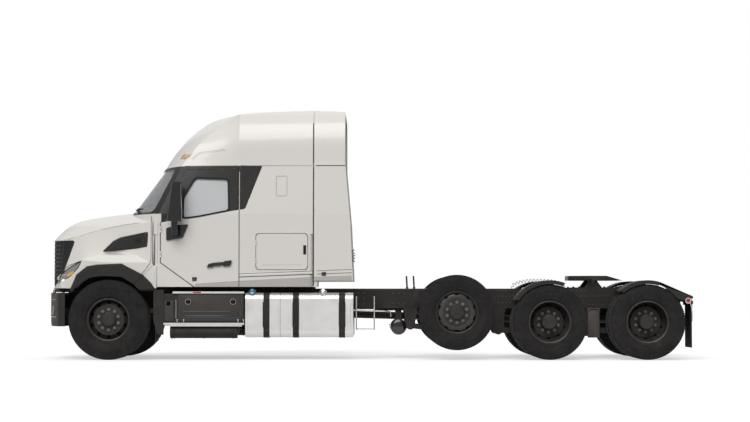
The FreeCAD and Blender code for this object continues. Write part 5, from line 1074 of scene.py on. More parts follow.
def ribbon(form: Form, points: Profile, width: float, feel: Feel, rise: float, step: float = 0.05,
           edge: float = 0.0) -> None:
    """Add a strip that follows a line over a surface.

    Args:
        form: The mesh to add to.
        points: The line's corners, in the two directions that the surface is felt with.
        width: How wide the strip is.
        feel: The function that gives a point of the surface, moved outwards.
        rise: How far the strip stands out.
        step: The longest face.
        edge: The radius of its long edges.
    """
    flat = [Vector(p) for p in points]
    line = [flat[0]]
    for a, b in zip(flat, flat[1:]):
        count = max(1, round((b - a).length / step))
        line += [a.lerp(b, (k + 1) / count) for k in range(count)]
    bm = form.bm
    out = (feel(*line[0], 1.0) - feel(*line[0], 0.0)).normalized()
    left, right = [], []
    for i, here in enumerate(line):
        ahead = (line[min(i + 1, len(line) - 1)] - line[max(i - 1, 0)]).normalized()
        across = Vector((-ahead.y, ahead.x)) * width / 2
        a, b = feel(*(here - across), rise), feel(*(here + across), rise)
        high = max(a.dot(out), b.dot(out))
        if abs(a.dot(out) - b.dot(out)) > width:
            a, b = (p + out * (high - p.dot(out)) for p in (a, b))
        left.append(a)
        right.append(b)
    first = [bm.verts.new(p) for p in settled(left, out)]
    second = dict(zip(first, settled(right, out)))
    edges = [bm.edges.new(pair) for pair in zip(first, first[1:])]
    targets = {tuple(round(c, 6) for c in v.co): second[v] for v in first}
    grown = bmesh.ops.extrude_edge_only(bm, edges=edges)["geom"]
    for vert in added(grown, Vert):
        vert.co = targets[tuple(round(c, 6) for c in vert.co)]
    faces = added(grown, Face)
    thicken(form, faces, out * rise * 2, edge)


def thicken(form: Form, faces: Sequence[Face], depth: Vector, edge: float = 0.0) -> None:
    """Give faces that lie on a surface a thickness into it, and round their outer edges."""
    rims = [e for f in faces for e in f.edges if sum(g in faces for g in e.link_faces) == 1]
    grown = bmesh.ops.extrude_face_region(form.bm, geom=list(faces), use_keep_orig=True)["geom"]
    moved = added(grown, Vert)
    bmesh.ops.translate(form.bm, verts=moved, vec=-depth)
    if edge:
        form.round_edges([e for e in rims if e.is_valid], edge, 2)


def pad(form: Form, outline: Profile, feel: Feel, rise: float, edge: float = 0.0,
        corner: float = 0.0) -> None:
    """Add a raised panel with its outline on a surface.

    Args:
        form: The mesh to add to.
        outline: Its corners, in the two directions that the surface is felt with.
        feel: The function that gives a point of the surface.
        rise: How far it stands out.
        edge: The radius of its outer edges.
        corner: The radius of its corners in the outline.
    """
    face = form.flat_face([(u, v, 0) for u, v in outline], corner, 4)
    out = (feel(*outline[0], 1.0) - feel(*outline[0], 0.0)).normalized()
    felt = settled([feel(v.co.x, v.co.y, rise) for v in face.verts], out)
    for vert, place in zip(face.verts, felt):
        vert.co = place
    thicken(form, [face], out * rise * 2, edge)


def crossed(outline: Profile, at: Vector, along: Vector) -> list[tuple[Vector, Vector]]:
    """Give the stretches of a straight line that lie inside an outline.

    Args:
        outline: A closed outline's corners.
        at: A point on the line.
        along: The line's direction.

    Returns:
        The two ends of each stretch.
    """
    cuts: list[float] = []
    corners = [Vector(p) for p in outline]
    for a, b in zip(corners, corners[1:] + corners[:1]):
        run = b - a
        cross = along.x * run.y - along.y * run.x
        if abs(cross) < 1e-9:
            continue
        gap = a - at
        share = (gap.x * along.y - gap.y * along.x) / cross
        if 0 <= share < 1:
            cuts.append((gap.x * run.y - gap.y * run.x) / cross)
    cuts.sort()
    return [(at + along * a, at + along * b) for a, b in zip(cuts[::2], cuts[1::2])]


@dataclass(frozen=True)
class Seam:
    """A dark gap, crease or lip drawn along a panel: its name, nodes, body, line and width."""

    name: str
    nodes: tuple[str, ...]
    body: str
    line: Profile
    width: float = 0.010
    finish: Finish | None = None
    on_cab: bool = False
    rise: float = 0.0012


@dataclass
class BodySeams(OneSide):
    """The shut lines, creases and sill bands of the cab, sleeper, hood and fairings on one side."""

    def seams(self) -> list[Seam]:
        """List this side's seams.

        Returns:
            The seams, front to back.
        """
        hood, cab, tail = "hood_shell", "cab_shell", "rear_fairings"
        door, luggage = f"{self.side}_door", f"{self.side}_luggage_door"
        rear = (cab, "roof_fairing", tail)
        return [
            Seam("hood_rear_edge", (hood,), "hood", ((-3.004, 1.345), (-3.004, 1.930)), 0.010),
            Seam("hood_flange_line", (hood,), "hood",
                 ((-3.026, 2.020), (-3.026, 1.420), (-3.044, 1.345), (-3.100, 1.262),
                  (-3.240, 1.120)), 0.007),
            Seam("cowl_step_line", (cab,), "chassis", ((-2.936, 1.345), (-2.928, 1.930)), 0.006,
                 PANEL_SHADE, True),
            Seam("door_front_gap", (cab,), "chassis",
                 ((-2.896, 1.925), (-2.896, 1.366), (-2.420, 1.022)), 0.012, None, True, 0.003),
            Seam("door_rear_gap", (cab,), "chassis", ((-1.786, 1.030), (-1.786, 2.104)), 0.011, None, True),
            Seam("door_crease_lower", (door,), self.door_body, ((-2.400, 1.062), (-1.796, 1.105)),
                 0.006, PANEL_SHADE, True),
            Seam("roof_gap", rear, "chassis", ((-2.560, 2.727), (-0.300, 2.727)), 0.012),
            Seam("rear_gap", rear, "chassis", ((-0.744, 1.040), (-0.744, 3.330)), 0.018),
            Seam("sill_upper_line", (cab,), "chassis", ((-1.780, 1.205), (-0.756, 1.245)), 0.006, None, True),
            Seam("sill_lower_line", (cab,), "chassis", ((-1.780, 1.160), (-0.756, 1.199)), 0.008, None, True),
            Seam("tail_upper_line", (tail,), "chassis", ((-0.740, 1.246), (-0.206, 1.267)), 0.006),
            Seam("tail_lower_line", (tail,), "chassis", ((-0.740, 1.200), (-0.206, 1.221)), 0.008),
            Seam("luggage_gap", (cab,), "chassis",
                 ((-1.503, 1.262), (-0.872, 1.262), (-0.835, 1.276), (-0.822, 1.312), (-0.822, 1.724),
                  (-0.835, 1.760), (-0.872, 1.774), (-1.503, 1.774), (-1.540, 1.760), (-1.553, 1.724),
                  (-1.553, 1.312), (-1.540, 1.276), (-1.503, 1.262)), 0.009, None, True),
            Seam("luggage_press_line", (luggage,), f"{self.side}_luggage_body",
                 ((-1.470, 1.330), (-0.905, 1.330)), 0.004, PANEL_SHADE, True),
        ]

    def shades(self) -> None:
        """Put painted shade on the tucked-under foot of the door, sleeper and rear fairing."""
        sign = self.sign
        rows = (("door", (f"{self.side}_door",), self.door_body,
                 ((-2.410, 1.020), (-2.410, 1.057), (-1.794, 1.106), (-1.794, 1.020))),
                ("sleeper", ("cab_shell",), "chassis",
                 ((-1.790, 1.020), (-1.790, 1.108), (-0.758, 1.162), (-0.758, 1.020))),
                ("tail", ("rear_fairings",), "chassis",
                 ((-0.738, 1.060), (-0.738, 1.165), (-0.204, 1.182), (-0.204, 1.060))))
        for name, nodes, body, outline in rows:
            SkinPatch(f"{self.side}_{name}_foot", nodes, body, outline, FOOT_SHADE, sign, 0.0008,
                      slot="cab_paint").build()

    def build(self) -> None:
        """Build the seams and the shaded foot."""
        sign = self.sign
        for seam in self.seams():
            form = Form()
            feel = cab_wall(sign) if seam.on_cab else Skin(*seam.nodes).side(sign)
            ribbon(form, seam.line, seam.width, feel, seam.rise)
            self.add(form, seam.name, seam.finish or SEAM_DARK, seam.body, "cab_paint")
        self.shades()


@dataclass
class RoofTrim(OneSide):
    """The marker lamp, its dark pocket and the pressed line on one side of the roof fairing."""

    lamp: Profile = ((-2.632, 2.845), (-2.604, 2.884), (-2.562, 2.897), (-2.486, 2.899), (-2.522, 2.858),
                     (-2.576, 2.842))
    pocket: Profile = ((-2.650, 2.838), (-2.612, 2.896), (-2.566, 2.912), (-2.455, 2.914), (-2.512, 2.846),
                       (-2.578, 2.830))
    line: Profile = ((-2.462, 2.826), (-2.405, 2.890), (-2.359, 2.919), (-1.995, 2.960))

    def build(self) -> None:
        """Build the lamp, the pocket and the line."""
        feel = Skin("roof_fairing").side(self.sign)
        rows = (("marker_pocket", GLOSS_TRIM, self.pocket, 0.003), ("marker_lens", AMBER, self.lamp, 0.010))
        for name, finish, outline, rise in rows:
            form = Form()
            pad(form, outline, feel, rise, 0.002, 0.008)
            self.add(form, f"roof_{name}", finish, "chassis", "lamp")
        form = Form()
        ribbon(form, self.line, 0.006, feel, 0.0012)
        lower = [(x + 0.012, z - 0.016) for x, z in self.line]
        ribbon(form, lower, 0.004, feel, 0.0012)
        self.add(form, "roof_pressed_line", PANEL_SHADE, "chassis", "cab_paint")


@dataclass
class HoodTrim(OneSide):
    """The vent, headlamp fittings and crease of the hood on one side."""

    vent: Profile = ((-3.735, 1.530), (-3.580, 1.670), (-3.480, 1.715), (-3.080, 1.790), (-3.082, 1.700),
                     (-3.090, 1.595), (-3.230, 1.570))
    vent_hole: Profile = ((-3.640, 1.572), (-3.540, 1.655), (-3.460, 1.690), (-3.125, 1.752),
                          (-3.135, 1.625), (-3.240, 1.600))
    amber: Profile = ((-4.215, 1.176), (-4.190, 1.208), (-4.124, 1.240), (-4.106, 1.232), (-4.130, 1.196),
                      (-4.179, 1.166))
    # The outline of a glowing white strip on the lens: a painted highlight.
    bright: Profile = ((-4.330, 1.078), (-4.262, 1.136), (-4.215, 1.120), (-4.290, 1.066))
    blade: Profile = ((-4.300, 1.165), (-4.180, 1.290), (-4.020, 1.375))
    lamp_edge: Profile = ((-4.322, 1.080), (-4.292, 1.088), (-4.158, 1.176), (-4.050, 1.290), (-4.004, 1.390),
                          (-4.186, 1.318), (-4.312, 1.172))
    crease: Profile = ((-4.340, 1.700), (-4.089, 1.752), (-3.820, 1.828), (-3.440, 1.898), (-3.000, 1.945))

    def vents(self) -> None:
        """Build the vent's surround and its woven mesh."""
        feel = Skin("hood_grilles").side(self.sign)
        form = Form()
        wide = Skin("hood_grilles", "hood_shell").side(self.sign)
        pad(form, self.vent, wide, 0.0025, 0.001)
        ribbon(form, (*self.vent, self.vent[0]), 0.018, wide, 0.007, 0.04, 0.002)
        hole = (*self.vent_hole, self.vent_hole[0])
        ribbon(form, hole, 0.010, feel, 0.004, 0.04, 0.001)
        self.add(form, "vent_surround", GLOSS_TRIM, "hood")
        mesh = Form()
        for along in (Vector((0.80, 0.60)), Vector((0.80, -0.60))):
            across = Vector((-along.y, along.x))
            for k in range(-16, 17):
                for a, b in crossed(self.vent_hole, Vector((-3.38, 1.665)) + across * k * 0.019, along):
                    ribbon(mesh, (a, b), 0.005, feel, 0.0025, 0.5)
        self.add(mesh, "vent_mesh", VENT_MESH, "hood", merge=0.0)

    def headlamp(self) -> None:
        """Build what shows through and on the headlamp's lens, with a painted highlight strip on the lens."""
        feel = Skin("headlights").side(self.sign)
        rows = (("amber", AMBER, self.amber, 0.005), ("lens_painted_highlight", WHITE_LENS_AND_PAINTED_HIGHLIGHT, self.bright, 0.004))
        for name, finish, outline, rise in rows:
            form = Form()
            pad(form, outline, feel, rise, 0.0015, 0.006)
            self.add(form, f"headlamp_{name}", finish, "hood", "lamp")
        form = Form()
        ribbon(form, (*self.lamp_edge, self.lamp_edge[0]), 0.010, feel, 0.002)
        ribbon(form, self.blade, 0.012, feel, 0.003)
        self.add(form, "headlamp_edge", GLOSS_TRIM, "hood")
        skin = Skin("headlights")
        sign = self.sign
        form = Form()
        for y, z, r in ((0.985, 1.150, 0.052), (0.860, 1.128, 0.046)):
            at = skin.ahead()(sign * y, z)
            face = skin.tree.find_nearest(at)[1]
            face = face if face.x < 0 else -face
            line = [(r, -0.004), (r, 0.004), (r - 0.006, 0.006), (r - 0.012, 0.0015), (0.0, 0.0015)]
            form.turned(line, at, face, 36)
        self.add(form, "headlamp_bowls", CHROME, "hood", "lamp")

    def build(self) -> None:
        """Build the trim of this side."""
        self.vents()
        self.headlamp()
        form = Form()
        ribbon(form, self.crease, 0.008, Skin("hood_shell").side(self.sign), 0.0008)
        self.add(form, "hood_crease", PANEL_SHADE, "hood", "cab_paint")


@dataclass
class Nose:
    """The grille, lip, wipers and bumper fittings across the tractor's nose."""

    low: float = 1.150
    high: float = 1.680
    bars: int = 10
    rearmost: float = -4.330
    side_edge: Profile = ((-4.341, 1.240), (-4.172, 1.684))

    def grille(self) -> None:
        """Build the grille's cross bars, uprights and frame."""
        skin = Skin("hood_grilles")
        ahead = skin.ahead()
        form = Form()
        pitch = (self.high - self.low) / (self.bars - 1)
        for k in range(self.bars):
            z = self.low + pitch * k
            half = self.reach(skin, [(step * 0.01, z) for step in range(120)])
            if half > 0.2:
                ribbon(form, ((0.020 - half, z), (half - 0.020, z)), 0.020, ahead, 0.010, 0.08, 0.004)
        form.piece("grille_bars", GLOSS_TRIM, "hood", "trim")
        fine = Form()
        for k in range(-19, 20):
            y = k * 0.044
            middle = (self.low + self.high) / 2
            rise = self.reach(skin, [(y, middle + step * 0.01) for step in range(60)])
            fall = self.reach(skin, [(y, middle - step * 0.01) for step in range(60)])
            if rise > 0.05 and fall > 0.05:
                ribbon(fine, ((y, middle - fall + 0.012), (y, middle + rise - 0.012)), 0.007, ahead, 0.004,
                       0.12)
        fine.piece("grille_uprights", VENT_MESH, "hood", "trim")
        edge = Form()
        for sign in SIDES.values():
            feel = Skin("hood_grilles").side(sign)
            ribbon(edge, self.side_edge, 0.024, feel, 0.006, 0.04, 0.002)
        edge.piece("grille_frame", GLOSS_TRIM, "hood", "trim")

    def reach(self, skin: Skin, places: Profile) -> float:
        """Give how far along some places the grille's face goes on without a break."""
        far = 0.0
        for y, z in places:
            hit = skin.tree.ray_cast(Vector((-6.0, y, z)), Vector((1, 0, 0)), 3.0)[0]
            if hit is None or hit.x > self.rearmost:
                break
            far = math.dist((y, z), places[0])
        return far

    def wipers(self) -> None:
        """Build the two parked wipers."""
        ahead = Skin("windscreen", "cab_shell").ahead()
        form = Form()
        for start, end in ((-0.72, -0.12), (-0.02, 0.58)):
            line = [ahead(start, 2.075, 0.018), ahead(start + 0.08, 2.112, 0.026),
                    ahead((start + end) / 2, 2.128, 0.026), ahead(end - 0.12, 2.140, 0.020)]
            form.tube(line, 0.007, 8)
            form.bar(ahead(start, 2.072, -0.004), ahead(start, 2.072, 0.026), 0.017, 16)
            ribbon(form, ((start + 0.06, 2.140), (end, 2.146)), 0.010, ahead, 0.010, 0.08)
            ribbon(form, ((start + 0.20, 2.148), (end - 0.14, 2.152)), 0.016, ahead, 0.016, 0.08)
        form.piece("wipers", FLAP_RUBBER, "chassis", "trim")

    def bumper(self) -> None:
        """Build the bumper's fog lamps, lines and tow covers."""
        skin = Skin("front_bumper")
        ahead = skin.ahead()
        lamps = Form()
        for sign in SIDES.values():
            at = ahead(sign * 0.86, 0.700)
            face = skin.tree.find_nearest(at)[1]
            face = face if face.x < 0 else -face
            line = [(0.060, -0.006), (0.060, 0.006), (0.050, 0.008), (0.046, 0.002), (0.0, 0.003)]
            lamps.turned(line, at, face, 36)
        lamps.piece("fog_lamps", LENS, "chassis", "lamp")
        form = Form()
        for z, width in ((0.845, 0.010), (0.600, 0.008)):
            ribbon(form, ((-1.05, z), (1.05, z)), width, ahead, 0.0005, 0.06)
        for y in (-0.20, 0.20):
            pad(form, rect(y - 0.06, y + 0.06, 0.64, 0.76), ahead, 0.0005, 0.001, 0.012)
        form.piece("bumper_lines", GLOSS_TRIM, "chassis", "trim")

    def lip(self) -> None:
        """Build the dark lip under the nose, and a dark sheet behind each front wheel: painted shade in the
        wheel well.
        """
        ahead = Skin("hood_shell", "hood_grilles", "headlights").ahead()
        sides = [k * 0.1 for k in range(-10, 11)]
        fronts = [(ahead(y, 1.018).x + 0.014, y, 0.952) for y in sides]
        form = Form()
        form.plate(fronts + [(x + 0.085, y, z) for x, y, z in reversed(fronts)], (0, 0, 0.050), 0.004)
        form.piece("nose_lip", FLAP_RUBBER, "hood", "trim")
        # A dark sheet behind each front wheel: painted shade for the wheel well, hiding the lit hood paint
        # inside.
        shade_sheet = Form()
        turns = [math.radians(-50 + 5 * k) for k in range(21)]
        outline = [(FRONT_AXLE_X + r * math.sin(t), -0.505, FRONT_TYRE_R + r * math.cos(t))
                   for r, angles in ((0.696, turns), (0.450, turns[::-1])) for t in angles]
        shade_sheet.plate(outline, (0, 0.006, 0))
        shade_sheet.mirrored().piece("wheel_well_shade_sheets", FLAP_RUBBER, "hood", "trim")

    def build(self) -> None:
        """Build the nose."""
        self.grille()
        self.lip()
        self.wipers()
        self.bumper()


@dataclass
class MirrorTrim(OneSide):
    """The mirror glasses and the rubber boot where the arm turns in its foot."""

    arm: tuple[float, float] = (-2.684, 1.790)
    arm_out: float = 1.292

    def build(self) -> None:
        """Build the glasses and the boot."""
        sign = self.sign
        body = self.door_body
        behind = Skin(f"{self.side}_mirror").behind()
        form = Form()
        for low, high in ((2.130, 2.452), (1.962, 2.108)):
            pad(form, rect(sign * 1.286, sign * 1.404, low, high), behind, 0.0012, 0.0004, 0.020)
        self.add(form, "mirror_glass", CHROME, body, "glass")
        form = Form()
        rings = [(0.030, 1.170)]
        for k in range(5):
            rings += [(0.058 - 0.003 * k, 1.215 + 0.013 * k), (0.052 - 0.003 * k, 1.2215 + 0.013 * k)]
        rings += [(0.030, self.arm_out - 0.004)]
        form.turned([(r, y * sign) for r, y in rings], (self.arm[0], 0.0, self.arm[1]), steps=36)
        self.add(form, "mirror_boot", FLAP_RUBBER, body)


SEAM_DARK = Finish("shut_line_shadow", (0.055, 0.050, 0.046), 0.75, drift=0.1, grain_scale=500)
# A darker copy of the cab paint: painted shade on the panels' tucked-under foot.
FOOT_SHADE = Finish("tucked_under_painted_shade", (0.50, 0.48, 0.455), 0.42, coat=0.2, drift=0.03, grain_scale=800,
    grain_share=0.1)
VENT_MESH = Finish("woven_mesh_black", (0.045, 0.044, 0.043), 0.42, metallic=0.3, drift=0.1,
    grain_scale=500)
# Glowing white: the reversing lamps' white lenses, and a painted highlight strip on each headlamp lens.
WHITE_LENS_AND_PAINTED_HIGHLIGHT = Finish("lamp_white_strip", (0.92, 0.92, 0.90), 0.18, drift=0.02, grain_share=0.1, glow=0.35)


def flat_wall(sign: int, y: float) -> Feel:
    """Give the function that puts (x, z) on an upright wall at a distance from the middle."""
    return lambda x, z, more=0.0: Vector((x, sign * (y + more), z))


@dataclass
class SideBoxTrim(OneSide):
    """The cover, latches, scoop, reflector and lower step of one battery box."""

    face: float = 1.200
    can_z: float = 0.390
    can_y: float = 1.095
    can_r: float = 0.088

    def cover(self) -> None:
        """Build the pressed cover with its scoop, latches and pins."""
        sign = self.sign
        wall = flat_wall(sign, self.face)
        form = Form()
        pad(form, rect(-2.636, -1.728, 0.545, 0.918), wall, 0.006, 0.002, 0.02)
        pad(form, rect(-2.828, -2.702, 0.545, 0.830), wall, 0.010, 0.003, 0.012)
        for x0, x1 in ((-2.630, -2.600), (-1.764, -1.734)):
            pad(form, rect(x0, x1, 0.552, 0.910), wall, 0.011, 0.003, 0.006)
        self.add(form, "box_cover", BOX_PLASTIC)
        scoop = Form()
        ribbon(scoop, ((-2.590, 0.548), (-2.556, 0.676), (-1.806, 0.676), (-1.782, 0.548)), 0.014, wall,
               0.013, 0.2, 0.003)
        ribbon(scoop, ((-2.570, 0.606), (-1.795, 0.606)), 0.030, wall, 0.010, 0.3, 0.004)
        pad(scoop, ((-2.580, 0.548), (-2.550, 0.670), (-1.812, 0.670), (-1.790, 0.548)), wall, 0.008)
        self.add(scoop, "box_scoop", GLOSS_TRIM)
        fittings = Form()
        for x in (-2.498, -1.868):
            for step in (-0.019, 0.019):
                fittings.bar(wall(x + step, 0.815, 0.002), wall(x + step, 0.815, 0.012), 0.017, 20)
            ribbon(fittings, ((x - 0.030, 0.792), (x, 0.782), (x + 0.030, 0.792)), 0.008, wall, 0.011, 0.1)
        pad(fittings, rect(-2.802, -2.750, 0.762, 0.820), wall, 0.014, 0.002, 0.006)
        self.add(fittings, "box_latches", HOLE_SHADE_AND_LATCH_BLACK)
        rings = Form()
        for x in (-2.498, -1.868):
            ring = [(0.036, 0.0), (0.036, 0.011), (0.040, 0.011), (0.040, 0.0)]
            rings.turned([(r, sign * w) for r, w in ring], wall(x, 0.815, 0.004), steps=32)
        self.add(rings, "box_latch_rings", STEEL)
        rods = Form()
        for x in (-2.650, -2.560, -1.800, -1.722):
            rods.bar(wall(x, 0.530, 0.008), wall(x, 0.560, 0.008), 0.009, 12)
            rods.bar(wall(x, 0.560, 0.008), wall(x, 0.572, 0.008), 0.013, 12)
        rods.bar(wall(-2.668, 0.585, 0.006), wall(-2.668, 0.845, 0.006), 0.005, 10)
        self.add(rods, "box_pins", STEEL)

    def steps(self) -> None:
        """Build the bright lower step, the reflector on the upper one and the bands of the can."""
        sign = self.sign
        form = Form()
        low = sorted((sign * 1.150, sign * 1.217))
        form.block((-2.752, low[0], 0.468), (-1.742, low[1], 0.500), 0.010, 3)
        for k in range(24):
            x = -2.720 + k * 0.041
            form.block((x, low[0] + 0.012, 0.499), (x + 0.020, low[1] - 0.012, 0.503), 0.001, 1)
        self.add(form, "lower_step", TREAD_METAL, "chassis", "tread")
        form = Form()
        for x in (-2.700, -2.280, -1.870):
            ring = [(self.can_r, -0.014), (self.can_r + 0.004, -0.012), (self.can_r + 0.004, 0.012),
                    (self.can_r, 0.014)]
            form.turned(ring, (x, sign * self.can_y, self.can_z), (1, 0, 0), 40)
            bolt = (x, sign * (self.can_y + self.can_r + 0.002), self.can_z + 0.030)
            form.bar(bolt, (bolt[0], bolt[1] + sign * 0.012, bolt[2]), 0.007, 6)
        inner, outer = sorted((sign * 1.030, sign * 1.175))
        form.block((-1.808, inner, 0.372), (-1.792, outer, 0.500), 0.004)
        form.block((-1.800, inner + 0.02, 0.420), (-1.748, outer - 0.02, 0.436), 0.004)
        self.add(form, "can_bands", FRAME_PAINT, "chassis", "frame_paint")
        form = Form()
        wall = flat_wall(sign, 1.2215)
        pad(form, rect(-2.428, -2.316, 0.936, 0.954), wall, 0.004, 0.001, 0.004)
        self.add(form, "step_reflector", RED_LENS, "chassis", "lamp")

    def build(self) -> None:
        """Build the cover and the steps."""
        self.cover()
        self.steps()


@dataclass
class TankTrim(OneSide):
    """The strap covers, welded seams and filler caps of one side's tanks."""

    straps: tuple[float, float, float] = (-1.406, -0.990, -0.341)
    fluid_cap: tuple[float, float, float] = (-1.602, 1.168, 0.934)
    fuel_cap: tuple[float, float, float] = (-0.608, 1.168, 0.934)

    def cap(self, name: str, at: tuple[float, float, float], finish: Finish, radius: float) -> None:
        """Build a filler cap on its neck, leaning out over the tank's edge.

        Args:
            name: The piece's name.
            at: The middle of the neck's foot, for the side at +Y.
            finish: The cap's surface.
            radius: The cap's radius.
        """
        sign = self.sign
        foot = Vector((at[0], sign * at[1], at[2]))
        axis = (0, sign * 0.66, 0.75)
        form = Form()
        form.turned([(radius + 0.012, -0.030), (radius + 0.012, 0.004), (radius + 0.004, 0.007)], foot,
                    axis, 40)
        form.bar(foot, foot + Vector(axis) * 0.004, radius + 0.004, 40)
        self.add(form, f"{name}_neck", CHROME, "chassis", "tank")
        form = Form()
        form.turned([(0.0, 0.003), (radius, 0.003), (radius, 0.026), (radius - 0.004, 0.031),
                     (radius * 0.55, 0.032), (radius * 0.5, 0.029), (0.0, 0.029)], foot, axis, 40)
        form.block(foot + Vector((radius * 0.97, -0.004, 0.006)),
                   foot + Vector((radius * 0.97 + 0.005, 0.004, 0.026)), 0.001, 1)
        verts = [v for v in form.bm.verts if (v.co - foot - Vector((radius, 0, 0.016))).length < 0.02]
        form.around(verts, foot, axis, 18)
        form.block(foot + Vector((-radius * 0.55, -0.008, 0.028)),
                   foot + Vector((radius * 0.55, 0.008, 0.042)), 0.003)
        grip = [v for v in form.bm.verts if v.co.z > foot.z + 0.027 and abs(v.co.y - foot.y) < 0.009]
        turn = Vector((0, 0, 1)).rotation_difference(Vector(axis)).to_matrix()
        bmesh.ops.rotate(form.bm, verts=grip, cent=foot, matrix=turn)
        self.add(form, f"{name}_cap", finish, "chassis", "tank")

    def build(self) -> None:
        """Build the covers, seams and caps."""
        sign = self.sign
        straps = Skin("tank_straps").side(sign)
        tank = Skin("fuel_tanks").side(sign)
        form = Form()
        for x in self.straps:
            pad(form, ((x - 0.047, 0.470), (x - 0.034, 0.440), (x + 0.034, 0.440), (x + 0.047, 0.470),
                       (x + 0.047, 0.800), (x + 0.034, 0.828), (x - 0.034, 0.828), (x - 0.047, 0.800)),
                straps, 0.007, 0.003)
        self.add(form, "strap_covers", FLAP_RUBBER, "chassis", "frame_paint")
        bolts = Form()
        for x in self.straps:
            for z in (0.860, 0.405):
                at = straps(x, z)
                bolts.bar(at, at + Vector((0, sign * 0.010, 0)), 0.012, 6)
                bolts.bar(at + Vector((0, sign * 0.010, 0)), at + Vector((0, sign * 0.016, 0)), 0.007, 12)
        self.add(bolts, "strap_bolts", BOLT_STEEL, "chassis", "frame_paint")
        seams = Form()
        for x in (-1.662, -1.232, -0.222):
            ribbon(seams, ((x, 0.412), (x, 0.842)), 0.006, tank, 0.0022, 0.1, 0.001)
        self.add(seams, "tank_seams", TANK_SEAM, "chassis", "tank")
        self.cap("fuel", self.fuel_cap, CHROME, 0.046)
        if self.side == "left":
            self.cap("fluid", self.fluid_cap, BLUE_CAP, 0.044)


